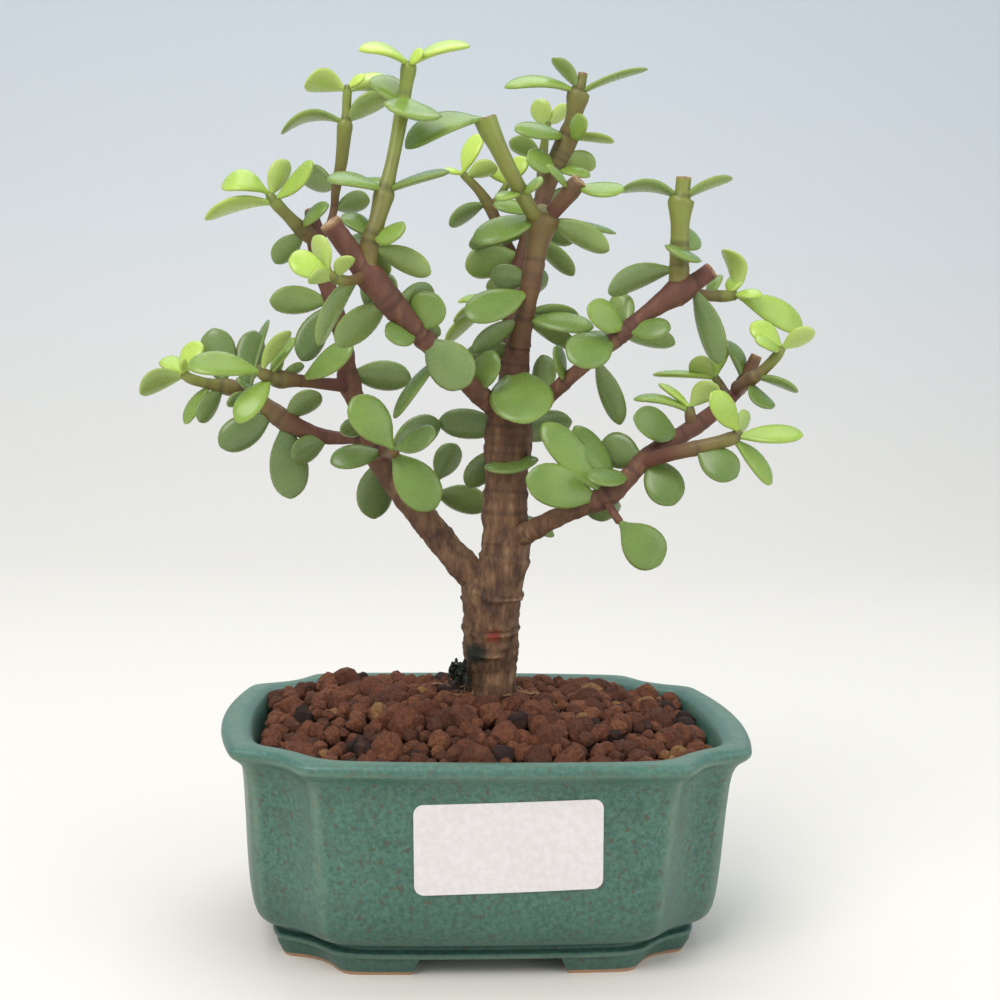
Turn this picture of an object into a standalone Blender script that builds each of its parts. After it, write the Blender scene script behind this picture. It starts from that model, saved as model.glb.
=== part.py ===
# A dwarf jade bonsai in a notched, glazed pot: pot, label, granule bed, trunk and leafy branches.
# The tables are in millimetres. Blender's own unit here is the metre.
import math
import random

import bmesh
import bpy
from mathutils import Matrix, Vector
from mathutils.bvhtree import BVHTree

MM = 0.001
GAP = 0.3

# Driving sizes of the pot. The rim's outline is a rectangle whose corners are notched by hollow arcs.
RIM_HALF_LENGTH = 60.0
RIM_HALF_DEPTH = 46.5
RIM_HEIGHT = 53.0
FRONT_LOBE = 44.2
SIDE_LOBE = 33.3
LOBE_SHARE = 0.82
FRONT_BULGE = 1.8
SIDE_BULGE = 4.7
NOTCH_SAG = 3.4
FLOOR_TOP = 12.0

# The outer wall, from the foot's ledge up to the lip: how far in from the rim's outline, and how high.
OUTER_WALL = [
    (10.9, 4.6), (9.9, 5.0), (9.9, 5.9), (11.4, 6.3), (11.4, 7.8), (8.4, 8.6), (6.4, 10.8),
    (5.5, 15.5), (4.2, 42.0), (3.6, 46.2), (2.3, 48.6), (0.6, 49.6), (0.0, 50.6),
    (0.1, 52.0), (1.2, 53.0), (3.6, 52.9), (5.4, 51.6),
]
INNER_WALL = [(6.6, 48.0), (8.6, 30.0), (10.6, 16.0), (15.0, FLOOR_TOP)]
INNER_NOTCH_SAG = 1.5
FOOT_TOP = 5.2
FOOT_OUTER = (12.4, 10.7)
FOOT_THICKNESS = 7.0
FOOT_GAP_LENGTH = 33.0
FOOT_GAP_DEPTH = 22.0
DRAIN_RADIUS = 5.0
DRAIN_SPACING = 44.0

# The paper label on the front: size, centre and turn as seen from the front.
LABEL_SIZE = (42.6, 21.1)
LABEL_THICKNESS = 0.4
LABEL_CENTRE = (2.8, 33.1)
LABEL_TURN = 1.9
LABEL_CORNER = 2.2

# The granule bed: its level at the pot's wall and at the trunk, and its granules.
BED_EDGE_LEVEL = 48.6
BED_CROWN = 6.8
GRANULE_PITCH = 10.3
GRANULE_JITTER = (1.2, 1.0)
GRANULE_SINK = 1.2
BED_REACH = (52.0, 36.0)
MOUND = (46.0, 32.0)
MOUND_SINK = 2.6
MOUND_SIDES = 20
ROW_SHARE = 0.86
GRANULE_RADIUS = (4.4, 5.6)
GRANULE_SEED = 15

# The tree was measured by sight from this point. Each across and up is read in the upright plane
# through the pot's middle, and depth is how far behind that plane the point really is.
EYE = Vector((-30.3, -367.1, 144.4))
# The routes' depths in the table are for a flat tree; this spreads the crown to its real depth.
DEPTH_SPREAD = 1.7

TRUNK_SIDES = 10
STEM_SIDES = 6
# The stems that are mostly bark; the others are mostly leaves.
BARE_STEMS = ("trunk", "left_low")
ROOT_STEPS = 4
LEAF_THICKNESS = 2.1
# Along a leaf, from its root in the stem to its tip: share of the length, and share of the width.
LEAF_OUTLINE = [(0.0, 0.22), (0.12, 0.34), (0.36, 0.84), (0.66, 1.0), (0.90, 0.68)]
# How far from its parent's surface a leaf's root or a stem's own course starts.
ROOT_CLEARANCE = 1.2

# Each stem: the stem that it grows from, its route as (across, up, depth, radius), and its leaves as
# (root across, root up, tip across, tip up, tip depth from the root, width, tilt, arch).
# Tilt is 0 where the blade is seen edge on with its upper side up, 90 where its upper side faces the
# eye, and -90 where its underside does. Arch is the rise of the blade's middle, as a share of its length.
STEMS = {
    "trunk": (None, [
        (1.5, 44, 4, 5.0), (1.4, 56, 4, 5.6), (1.3, 66, 3, 6.2), (1.2, 74, 2, 6.5), (1.3, 84, 1, 7.2),
        (3.6, 90, 0, 5.9), (4.3, 96, 0, 5.5), (3.9, 101, 0, 5.1), (3.9, 110, 0, 5.0), (4.2, 120, 0, 5.2),
        (4.4, 128, 0, 5.0), (5.0, 134, 0, 3.9), (5.6, 141, 0, 3.1), (6.2, 146.5, -1, 2.6)], [
        (8, 102.5, 16.4, 97.8, -1, 5.5, 35, 0.05), (13, 102.5, 8.6, 108.8, 5, 6, 40, 0.05),
        (5, 118, 6, 113.5, -9, 13.5, 75, 0.0), (0, 120, -5.5, 109.6, 7, 8, -60, 0.05),
        (-1, 125, -13.2, 125.4, 7, 8, -72, 0.05), (8, 123, 20, 126.4, 6, 8, -70, 0.08),
        (7, 140, 8.6, 125.6, -15, 15.6, 84, 0.03), (4, 145, -6.8, 141.6, 6, 6, -60, 0.05)]),
    "left_low": ("trunk", [
        (1.0, 83, 1, 3.6), (-4.5, 88.5, 1, 3.8), (-9.5, 94, 2, 3.5), (-15, 100.5, 3, 3.4), (-21.5, 108, 4, 3.0),
        (-27.5, 116.5, 5, 2.9), (-30.5, 124, 6, 2.4), (-33.5, 131, 6, 2.4), (-34.9, 134.5, 6, 3.0),
        (-35.5, 138, 5, 2.2), (-36.2, 144, 4, 2.0), (-38.2, 151, 3, 2.0), (-40.2, 157, 3, 2.0),
        (-42.2, 164, 3, 2.0), (-43.6, 169.5, 3, 2.2), (-44.6, 175.6, 4, 1.6)], [
        (-41.5, 153.5, -54.3, 153.8, -2, 7.5, -70, 0.05), (-41.5, 152.5, -46.6, 139.7, -4, 7.8, -70, 0.05),
        (-33.5, 136.8, -19.8, 135.8, 5, 8, -75, 0.05), (-28.5, 115, -28.4, 101.4, 7, 9.5, -80, 0.04),
        (-31, 122.5, -36.7, 124.2, -5, 5.5, -70, 0.05)]),
    "left_nub": ("left_low", [
        (-27.5, 116.5, 5, 1.6), (-25.6, 118.2, 0, 1.7), (-24.3, 118.2, -5, 1.7), (-23.8, 118.6, -7.5, 1.2)], [
        (-24.6, 120.5, -34.0, 131.2, -1, 9.5, 75, 0.03), (-24.5, 119.5, -13.6, 123.0, -6, 7.5, 45, -0.04),
        (-24.2, 117.5, -13.4, 104.0, -2, 10.5, 82, 0.03), (-26.5, 118, -39.2, 115.0, -4, 7, 58, 0.05),
        (-25.2, 119.5, -12.4, 125.4, 8, 8.5, -70, 0.05)]),
    "left_back_twig": ("left_low", [
        (-16, 101.5, 3, 1.6), (-15, 105, 8, 1.3), (-13.8, 109, 11, 1.1), (-13.2, 111.2, 12, 0.9)], [
        (-13.2, 111, -8.4, 120.3, 1, 7.5, -70, 0.05), (-13.8, 108.5, -0.4, 104.6, 2, 8.5, -62, 0.06)]),
    "left_mid": ("left_low", [
        (-35.2, 134, 6, 1.8), (-40, 134.2, 2, 1.5), (-46.5, 134.8, -1, 1.4), (-51.5, 135.1, -3, 2.0),
        (-53.5, 135.4, -4, 1.5), (-55.8, 136.4, -5, 1.3), (-56.6, 138, -5, 0.8)], [
        (-46.6, 134.8, -34.1, 144.2, -4, 7.5, 52, -0.03), (-56, 136.5, -73.8, 137.6, -5, 8, 46, 0.09),
        (-55.8, 136.8, -49.3, 146.8, -4, 5.5, -38, 0.06), (-54.2, 136.2, -48.2, 145.2, 3, 4.5, 40, 0.05),
        (-52, 135.8, -51.6, 141.6, 5, 4, 50, 0.04), (-51.8, 135.6, -45.8, 138.4, 6, 4, -40, 0.05),
        (-53.5, 134.6, -61.6, 124.3, -6, 7, 60, 0.06)]),
    "left_reach": ("left_low", [
        (-29.2, 120.8, 6, 1.6), (-33, 121.2, 7, 1.5), (-39.5, 121.3, 8, 1.7), (-45, 122.6, 8, 2.2),
        (-50.5, 125.3, 8, 2.4), (-55, 128.6, 8, 2.0), (-60, 132.1, 8, 1.7), (-64, 132.9, 8, 1.9),
        (-68, 133.5, 7, 1.3), (-72.6, 134.6, 6, 1.2), (-74.6, 135.8, 6, 1.0)], [
        (-39.5, 120.8, -48.5, 115.9, -5, 7, -70, 0.05), (-51.2, 124.5, -41.8, 131.9, -3, 7, -60, 0.05),
        (-58, 131, -64.2, 129.2, -6, 4.8, -50, 0.05), (-57, 131, -62.0, 135.0, -4, 4, 20, 0.05),
        (-60, 132.4, -57.6, 146.7, 5, 7.8, -75, 0.03), (-58.6, 131.5, -54.4, 149.4, 10, 5, 25, 0.04),
        (-65, 133.2, -67.6, 147.0, 3, 9.2, -80, 0.03), (-65, 132.8, -70.9, 124.4, -5, 6, -60, 0.05),
        (-68.6, 133, -74.3, 123.8, 2, 5, 42, 0.04), (-74, 135.4, -85.0, 131.0, -3, 7.5, -48, 0.16),
        (-74.2, 135.8, -71.0, 143.8, 3, 6.5, 52, 0.04), (-74.4, 135.8, -79.4, 139.4, 4, 6, 52, 0.05),
        (-74, 135.6, -75.0, 139.4, -3, 3, 40, 0.02), (-53.4, 126.6, -66.0, 118.6, -2, 8.6, -84, 0.03),
        (-51.6, 124.6, -48.6, 106.0, -2, 10, -80, 0.03)]),
    "left_fan": ("left_low", [
        (-43.2, 168.5, 3, 1.7), (-47, 171.2, 1, 1.7), (-50, 174, 0, 1.4), (-53, 177, -1, 1.3), (-54.6, 179, -1, 0.9)], [
        (-53.6, 177, -69.8, 172.6, -2, 8, -24, 0.11), (-54.6, 178.8, -66.0, 180.4, -1, 8, 40, 0.24),
        (-54.4, 178.6, -50.2, 187.2, 1, 6.6, -50, 0.05), (-53.8, 177.8, -44.4, 187.2, -4, 5.8, 40, -0.08),
        (-46.6, 171.5, -40.4, 177.2, -5, 5, 36, 0.05), (-46, 170.6, -53.2, 162.8, 2, 6.5, -60, 0.05)]),
    "left_whip": ("left_low", [
        (-43.4, 168.4, 3, 1.2), (-40.6, 171.6, 6, 1.0), (-39.2, 176, 7, 0.9), (-38.8, 181, 6, 1.1),
        (-37.6, 187, 5, 1.5), (-36.9, 195.4, 4, 1.7), (-36.6, 197.6, 4, 1.1), (-36.5, 202, 4, 1.0),
        (-36.3, 205, 4, 0.9)], [
        (-37.4, 196.3, -52.0, 193.3, -2, 8, -18, 0.2), (-36, 196.4, -26.6, 202.8, 0, 8, -40, 0.12),
        (-36.6, 203.6, -46.6, 204.8, -2, 8, -48, 0.24), (-36.2, 204.6, -32.4, 207.8, -1, 3.4, 35, 0.02),
        (-36, 204.2, -26.4, 207.2, 4, 6, 26, 0.08), (-36, 203.4, -25.6, 202.6, -3, 5.5, -28, 0.2),
        (-38.8, 181, -47.6, 183.8, 5, 7.5, -58, 0.1), (-39, 176, -30.6, 178.4, 3, 6.8, -52, 0.08)]),
    "left_upper": ("trunk", [
        (3.5, 128, 0, 2.4), (-2, 131.6, -3, 2.4), (-8, 137, -7, 2.2), (-14, 143, -10, 2.2), (-18.5, 147.2, -12, 2.3),
        (-24.4, 153.4, -14, 2.7), (-29.5, 159.4, -15, 3.1), (-32, 162, -15, 2.4), (-36, 167.4, -16, 2.4),
        (-40.2, 173, -17, 2.4)], [
        (-17.8, 146.4, -5.6, 134.8, -3, 10.8, -84, 0.03), (-18.6, 146.2, -26.2, 146.2, -7, 7, 60, 0.0),
        (-18.2, 147, -14.4, 156.8, -3, 9, 76, 0.02), (-24, 153.6, -14.7, 157.1, 6, 6.8, -50, 0.08),
        (-24.8, 154.4, -27.8, 160.6, 8, 6, -60, 0.05), (-18, 146.6, -13.0, 146.9, 6, 4.6, -60, 0.05),
        (-3.4, 132.6, 0.4, 143.2, -3, 7.4, 60, 0.04), (-12.5, 141.6, -24.0, 126.3, 6, 7, 24, 0.03),
        (-26, 154, -37.8, 143.2, 9, 8, -66, 0.05), (-32, 160, -29.4, 151.8, 8, 6.4, -60, 0.05),
        (-33, 160.5, -42.6, 143.4, -5, 8, -32, 0.06)]),
    "left_tuft": ("left_upper", [
        (-31.6, 160.4, -15, 1.3), (-35, 159.2, -19, 1.1), (-38.4, 159.6, -21, 1.1), (-40.4, 161, -22, 0.8)], [
        (-40.2, 161.2, -49.9, 163.4, -3, 7.6, 50, 0.06), (-40.4, 161.4, -43.8, 169.6, 2, 6.6, -38, 0.05),
        (-38.6, 159.8, -34.9, 165.0, -4, 4.6, -50, 0.1), (-38.6, 159.4, -44.8, 159.6, -6, 4.8, -52, 0.08)]),
    "tall_shoot": ("left_upper", [
        (-30.4, 160, -15, 2.0), (-30.9, 164, -15, 1.9), (-30.4, 168.6, -15, 2.0), (-29, 173, -15, 1.8),
        (-27.3, 179.8, -14, 2.1), (-26.6, 182.4, -14, 1.6), (-25, 190, -13, 1.5), (-23.4, 199.4, -12, 1.6),
        (-22.8, 203, -12, 1.3), (-22, 209.6, -12, 1.6), (-21.8, 211, -12, 1.2)], [
        (-22, 210, -34.0, 213.6, -3, 8, 14, 0.14), (-21.8, 210, -7.4, 215.6, -2, 8, 14, 0.1),
        (-21.9, 210.6, -18.6, 213.8, -5, 3.6, 40, 0.04), (-23, 203.4, -19.5, 198, -9, 14, 45, -0.05),
        (-23.6, 200.8, -29.6, 207.6, 7, 8, 50, 0.06), (-27.2, 180.4, -11.6, 185.9, -3, 8, 8, 0.03),
        (-27.4, 180.4, -41.0, 183.0, -3, 8, 20, 0.08), (-27.2, 180.4, -30.6, 183.4, 9, 6.5, 40, 0.05),
        (-30, 169.8, -22.2, 171.7, -7, 7, 38, -0.06), (-30.2, 169.6, -36.9, 174.9, 4, 6.5, 40, 0.05),
        (-30.6, 163, -15.6, 161.4, -2, 6.6, -60, 0.05), (-31, 163.4, -36.2, 168.6, 9, 6.5, 42, 0.05),
        (-30.4, 162.4, -26.6, 160.4, 7, 5, -50, 0.05)]),
    "leader": ("trunk", [
        (6.2, 145, -1, 2.3), (6.9, 149.5, -2, 2.3), (8.6, 156.2, -4, 1.7), (8.7, 158.4, -4, 2.2),
        (9.4, 164, -4, 2.3), (10.2, 170, -4, 2.8), (11.1, 175.4, -4, 3.7), (11.6, 178.2, -4, 1.8)], [
        (8.2, 158, -7.1, 151.0, -7, 9, 60, 0.03), (6.6, 148.6, -5.3, 142.8, -3, 6.6, -50, 0.05),
        (8.4, 160.6, -1.3, 160.8, 3, 7, -70, 0.04), (9, 160, 12.9, 161.6, 5, 5.6, -70, 0.04),
        (8, 152.6, 21.0, 151.2, 5, 6.4, -42, 0.08), (7.4, 149.2, 24.6, 149.5, -4, 7.4, 40, 0.03),
        (7.2, 148.6, 20.6, 144.0, 4, 5.6, -50, 0.05), (10.6, 175, -5.6, 169.4, -4, 7.6, 50, 0.05),
        (11.4, 175.2, 27.8, 168.3, -4, 6.8, -60, 0.06)]),
    "long_cut_shoot": ("leader", [
        (11.0, 175.2, -4, 1.6), (8.6, 177, -6, 1.7), (6, 181.2, -7, 1.7), (3, 186.4, -8, 1.9), (0, 192, -8, 2.1),
        (-2.2, 196, -8, 2.5), (-3.4, 198.8, -8, 2.4)], [
        (-3.4, 198.4, -22.4, 191.0, -4, 9.8, 34, 0.14), (5.8, 181.4, 0.0, 179.6, -5, 5, 22, 0.04),
        (6, 181.4, 11.0, 184.6, -5, 5, 24, 0.02)]),
    "short_cut_shoot": ("leader", [
        (11.8, 175.2, -4, 1.6), (14, 177.6, -5, 1.8), (17, 181.2, -6, 2.0), (20, 185, -7, 1.9)], [
        (18.4, 183, 31.0, 183.0, -5, 6.8, 30, -0.03), (17.4, 182.2, 11.8, 188.2, -5, 3.2, 30, 0.03)]),
    "back_leader": ("trunk", [
        (4.6, 139, 2, 2.6), (4.2, 145, 6, 2.5), (4.6, 154, 9, 2.3), (6.2, 164, 11, 2.2), (9.2, 174, 12, 2.2),
        (12.2, 183.4, 12, 2.1), (14.8, 190.4, 12, 2.4), (16.8, 195, 12, 2.5), (18, 199.6, 11, 2.0),
        (19, 205.4, 11, 2.6), (19.4, 206.6, 11, 1.3), (20, 210.4, 11, 1.2)], [
        (5.2, 158, -2.2, 158.6, 4, 5, -70, 0.04), (6.4, 166, -7.4, 163.4, -2, 9, -75, 0.04),
        (14, 188, 7.0, 189.2, -7, 7.2, 60, 0.02), (14.4, 187, 22.6, 186.0, -4, 5, 28, 0.05),
        (15, 190, 23.8, 188.2, 4, 6.4, -70, 0.05), (16.8, 194.6, 28.2, 194.4, -2, 6.6, -16, 0.04),
        (16.6, 195.2, 3.8, 196.3, -7, 7.6, 30, 0.04), (16.6, 195.6, 21.2, 199.4, -10, 6.4, 60, 0.0),
        (19, 205.6, 1.0, 206.2, -3, 7.4, 20, 0.12), (19.2, 206.2, 12.4, 213.7, -2, 4.8, -50, 0.1),
        (19.4, 205.6, 35.8, 212.0, -3, 6.4, -10, 0.05), (8.4, 171.6, -6.6, 168.8, -7, 7.4, -50, 0.06),
        (9.6, 175.2, 29.4, 172.5, 5, 6, 15, 0.05), (9.2, 173.4, 18.8, 169.8, 4, 6.4, -60, 0.05),
        (8.6, 171.6, 19.3, 162.0, 5, 5.8, -60, 0.05), (9.4, 175.4, -1.0, 178.4, -1, 5.4, 40, 0.05),
        (9.2, 174.6, -3.0, 172.8, 12, 5.2, -50, 0.05), (10.4, 178.6, 18.8, 181.4, 4, 6, -50, 0.05)]),
    "back_left_twig": ("back_leader", [
        (6, 163.4, 11, 1.5), (1.6, 171, 14, 1.4), (-1.6, 177.6, 15, 1.5), (-4.6, 181.8, 15, 1.2), (-8.4, 185.4, 15, 0.9)], [
        (-8, 185.2, -4.4, 195.2, 1, 6.8, 42, 0.04), (-7.8, 185, -0.2, 187.6, -3, 6.2, -50, 0.06),
        (-8.2, 185.4, -13.0, 186.2, -2, 3, 25, 0.03), (-2, 178.2, -11.5, 173.2, -3, 5.8, -50, 0.06)]),
    "back_twig_tip": ("back_left_twig", [
        (-1.4, 177.4, 15, 1.0), (0.6, 180.6, 16, 0.9), (2.8, 184, 16, 0.8)], [
        (2.6, 183.8, 6.8, 190.0, -1, 6.2, 50, 0.04), (2.4, 183.6, -2.4, 187.4, 2, 5.4, 42, 0.04)]),
    "back_shoot": ("back_leader", [
        (9.8, 176, 12, 1.3), (10.4, 183, 17, 1.2), (10.8, 190, 19, 1.3), (11.4, 195.6, 19, 0.9), (11.9, 198.4, 19, 0.8)], [
        (11.8, 197.6, 8.6, 203.6, 1, 6.4, -62, 0.04), (11.9, 198, 16.8, 202.2, 3, 5, -52, 0.05),
        (10.8, 190.4, 2.6, 193.8, -1, 6, -62, 0.06)]),
    "mid_back_twig": ("back_leader", [
        (4.4, 151, 8, 1.2), (1.4, 153, 8, 1.0), (-1.6, 154.6, 8, 0.9)], [
        (-1.2, 154.6, -9.9, 150.2, -4, 5.4, -24, 0.08), (-1, 154.2, -11.8, 144.8, -1, 6.4, -32, 0.05),
        (-1.2, 154.8, -8.7, 155.0, 5, 5.4, 22, 0.12)]),
    "right_upper": ("trunk", [
        (4.8, 126, 0, 2.2), (10, 129, -1, 2.0), (15, 133.4, -3, 1.8), (20.4, 138.4, -5, 1.7), (26.5, 143.8, -7, 1.7),
        (31.2, 147.8, -8, 1.9), (36.4, 152.4, -8, 1.8), (41.6, 156.4, -8, 2.5), (46, 159.4, -8, 3.1),
        (49.4, 161.4, -8, 2.1), (53.4, 164.4, -8, 2.1)], [
        (17.6, 136, 15.0, 144.6, -5, 6, 28, 0.04), (12.4, 131.4, 12.0, 142.6, 9, 7, -62, 0.04),
        (30, 147, 18.6, 141.4, -6, 10.4, 64, 0.02), (29.4, 146.4, 21.8, 147.2, 3, 5.4, 25, 0.05),
        (32.4, 149, 22.8, 154.7, -5, 7.8, 60, 0.02), (33.6, 150.2, 29.0, 157.4, 5, 7.2, -70, 0.04),
        (32.4, 148.4, 43.8, 149.9, -6, 6.4, 55, 0.0), (32, 148, 45.0, 146.0, 3, 6.2, -50, 0.05),
        (25.6, 143, 32.0, 125.8, 4, 6.4, -62, 0.04), (48.6, 160, 56.3, 141.3, -2, 7.2, -60, 0.05)]),
    "right_column": ("right_upper", [
        (45.4, 158.6, -8, 2.2), (45.3, 163, -8, 2.2), (45.2, 169.4, -8, 2.1), (45.1, 175, -8, 2.2),
        (45.1, 180.6, -8, 2.8), (45.3, 182, -8, 1.8), (45.6, 186.6, -8, 1.8)], [
        (44.6, 181, 29.8, 182.6, 1, 7.4, -22, 0.16), (45.8, 181, 57.8, 186.8, -2, 6.6, -16, 0.06),
        (45.2, 169.8, 46.5, 167, -9, 9.6, 40, 0.0), (45.2, 169.8, 48.8, 173.2, 9, 7, 90, 0.0),
        (45.2, 161.6, 27.8, 158.2, -3, 7.2, -58, 0.12)]),
    "right_tuft": ("right_upper", [
        (47.4, 159.4, -8, 1.2), (51.4, 158.4, -5, 1.2), (56, 158.1, -4, 1.3), (59.6, 158.4, -4, 1.1)], [
        (58.8, 158.6, 56.2, 169.6, -2, 6.4, -50, 0.3), (58, 158.4, 60.6, 163.7, 3, 5.2, 50, 0.04),
        (59.2, 158.6, 66.4, 158.4, -4, 4.4, 30, 0.06), (59.4, 158.2, 77.0, 150.6, 4, 7.8, 58, 0.06),
        (53.6, 158.2, 54.9, 163.0, 5, 5, 42, 0.04)]),
    "right_low": ("trunk", [
        (4.2, 97, 0, 2.6), (10, 98.8, -3, 2.6), (15, 101.6, -6, 2.2), (22, 104.8, -8, 2.1), (29, 108, -10, 2.5),
        (33.6, 112, -10, 2.1), (38.4, 117.4, -9, 2.1), (43, 120.8, -8, 1.9), (48, 124, -7, 2.0), (53.4, 127.8, -6, 2.0),
        (60, 133.6, -4, 1.5), (63, 138, -3, 1.7), (65.6, 143.8, -3, 1.4)], [
        (38, 118, 27.0, 120.6, 6, 9, -75, 0.04), (31, 110, 20.6, 125.4, 6, 7.4, 50, 0.04),
        (29, 108.8, 12.6, 125.8, 3, 8.4, 70, 0.04), (27, 107.6, 8.8, 112.4, -3, 10.4, 80, 0.03),
        (34.6, 113.2, 24.6, 112.0, -8, 7.4, 40, 0.0), (39, 118.4, 46.2, 106.0, -6, 9.4, 80, 0.03),
        (29, 108, 28.4, 101.8, 8, 8.6, -75, 0.03), (62.6, 137.2, 57.5, 147.4, 5, 6, 34, 0.12),
        (46.6, 123.4, 35.2, 127.8, -7, 8.6, 60, 0.04)]),
    "drop_twig": ("right_low", [
        (29, 107.6, -10, 1.0), (30.6, 104.6, -12, 0.9), (32.6, 101.8, -13, 0.9)], [
        (32.4, 102, 43.4, 91.0, -1, 10.4, 80, 0.03)]),
    "right_mid_twig": ("right_low", [
        (50.4, 125.6, -6.5, 1.3), (49.6, 128, -7, 1.2), (49.2, 130.4, -7, 1.0)], [
        (49.4, 129.6, 35.0, 132.2, 1, 6, 16, 0.1), (49.2, 130.4, 41.2, 136.2, 4, 5, 16, 0.04),
        (49.3, 130.2, 56.2, 136.2, -3, 6.4, -58, 0.16)]),
    "right_fork": ("right_low", [
        (37.6, 116.6, -9, 1.6), (44.6, 118.8, -13, 1.7), (51, 120.4, -15, 1.7), (57.6, 122.2, -16, 1.5),
        (60.8, 123.4, -16, 1.4), (61.8, 125, -16, 1.0)], [
        (61.6, 124.8, 54.4, 134.4, -4, 6.6, 60, 0.05), (61.8, 124.8, 64.4, 129.4, 5, 5, -44, 0.05),
        (61, 123.6, 78.4, 124.3, -3, 6.8, 40, 0.02), (51.4, 120.6, 62.0, 113.4, -5, 8.4, 70, 0.03),
        (60, 123, 70.9, 111.8, 3, 6.4, 40, 0.05)]),
    "right_twig": ("right_low", [
        (59, 132.8, -4.5, 1.1), (57.4, 135.4, -2, 1.0), (55.4, 138, -1, 0.9)], [
        (55.4, 138, 48.9, 141.9, 1, 6.6, -60, 0.06), (55.6, 137.8, 39.6, 138.4, 6, 6, 10, 0.03),
        (55.4, 138.2, 57.6, 146.8, 5, 5.2, 50, 0.03)]),
    "right_tip": ("right_low", [
        (61.4, 135.6, -4, 1.5), (64, 137.6, -8, 1.6), (67, 139.8, -9, 1.3), (70.4, 143.4, -10, 1.2), (71.9, 145.8, -10, 0.9)], [
        (71.8, 145.8, 63.8, 151.6, 2, 6.4, 55, 0.05), (71.2, 144.8, 65.2, 147.4, -4, 6, 22, 0.06),
        (71.8, 145.4, 80.0, 150.4, -3, 6.4, -42, 0.04), (65.4, 138.6, 76.6, 135.0, -4, 6.2, -16, 0.05),
        (63.6, 137.6, 70.2, 130.7, -5, 6.4, 34, -0.14)]),
}


def fresh_object(name, mesh):
    obj = bpy.data.objects.new(name, mesh)
    bpy.context.scene.collection.objects.link(obj)
    return obj


def mesh_from(name, points, faces):
    mesh = bpy.data.meshes.new(name)
    mesh.from_pydata([tuple(p * MM for p in point) for point in points], [], faces)
    mesh.validate()
    return mesh


def paint(obj, name, color, roughness):
    material = bpy.data.materials.get(name) or bpy.data.materials.new(name)
    material.use_nodes = True
    shader = material.node_tree.nodes["Principled BSDF"]
    shader.inputs["Base Color"].default_value = (*color, 1.0)
    shader.inputs["Roughness"].default_value = roughness
    shader.inputs["Metallic"].default_value = 0.0
    obj.data.materials.clear()
    obj.data.materials.append(material)


def seen(across, up, depth):
    """The point at this depth on the sight line that passes the upright middle plane at across, up."""
    on_plane = Vector((across, 0.0, up))
    share = (depth - EYE.y) / (0.0 - EYE.y)
    return EYE + (on_plane - EYE) * share


def smooth_route(points, steps):
    """Points on a Catmull-Rom curve through the given ones, each with its radius."""
    rows = [(*seen(a, u, d * DEPTH_SPREAD), r) for a, u, d, r in points]
    rows = [rows[0]] + rows + [rows[-1]]
    out = []
    for i in range(1, len(rows) - 2):
        p0, p1, p2, p3 = rows[i - 1:i + 3]
        for k in range(steps):
            t = k / steps
            out.append([
                0.5 * (2 * b + (c - a) * t + (2 * a - 5 * b + 4 * c - d) * t * t + (3 * b - a - 3 * c + d) * t ** 3)
                for a, b, c, d in zip(p0, p1, p2, p3)])
    out.append(list(rows[-1]))
    return [(Vector(row[:3]), row[3]) for row in out]


def tube(route, extra=0.0, sides=STEM_SIDES):
    """Points and faces of a closed tube along a route."""
    points, faces = [], []
    side = None
    route = [(Vector(centre), radius) for centre, radius in route]
    route[0][0].xyz += (route[0][0] - route[1][0]).normalized() * extra
    route[-1][0].xyz += (route[-1][0] - route[-2][0]).normalized() * extra
    for i, (centre, radius) in enumerate(route):
        ahead = route[min(i + 1, len(route) - 1)][0] - route[max(i - 1, 0)][0]
        ahead.normalize()
        if side is None:
            side = ahead.orthogonal()
        side = (side - ahead * side.dot(ahead)).normalized()
        other = ahead.cross(side)
        for k in range(sides):
            turn = 2 * math.pi * k / sides
            points.append(centre + (side * math.cos(turn) + other * math.sin(turn)) * (radius + extra))
    for i in range(len(route) - 1):
        for k in range(sides):
            a = i * sides + k
            b = i * sides + (k + 1) % sides
            faces.append((a, b, b + sides, a + sides))
    faces.append(tuple(reversed(range(sides))))
    faces.append(tuple(range(len(points) - sides, len(points))))
    return points, faces


def leaf_frame(root, tip, tilt):
    """The leaf's own axes: along it, across it, and out of its upper side."""
    along = (tip - root).normalized()
    to_eye = (EYE - (root + tip) / 2).normalized()
    facing = (to_eye - along * to_eye.dot(along)).normalized()
    upright = along.cross(facing)
    if upright.z < 0:
        upright = -upright
    out = upright * math.cos(math.radians(tilt)) + facing * math.sin(math.radians(tilt))
    return along, out.cross(along), out


def leaf_mesh(root, tip, width, tilt, arch, grow=0.0):
    """A thick blade: a diamond section swept from the root to the tip, arched along its length."""
    along, across, out = leaf_frame(root, tip, tilt)
    length = (tip - root).length
    points, faces = [], []
    for share, wide in LEAF_OUTLINE:
        rise = 4 * arch * share * (1 - share) * length
        centre = root + along * (share * length) + out * rise
        half_width = max(wide * width / 2, 0.9) + grow
        thick = LEAF_THICKNESS * (0.62 if share < 0.2 else 1.0) * (0.75 if share > 0.9 else 1.0)
        points += [
            centre + across * half_width, centre + out * (0.42 * thick + grow),
            centre - across * half_width, centre - out * (0.58 * thick + grow)]
    points.append(tip + along * grow)
    rings = len(LEAF_OUTLINE)
    for i in range(rings - 1):
        for k in range(4):
            a, b = 4 * i + k, 4 * i + (k + 1) % 4
            faces.append((a, b, b + 4, a + 4))
    last = 4 * (rings - 1)
    for k in range(4):
        faces.append((last + k, last + (k + 1) % 4, len(points) - 1))
    faces.append((3, 2, 1, 0))
    return points, faces


def bvh(points, faces):
    return BVHTree.FromPolygons([tuple(p) for p in points], faces)


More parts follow.
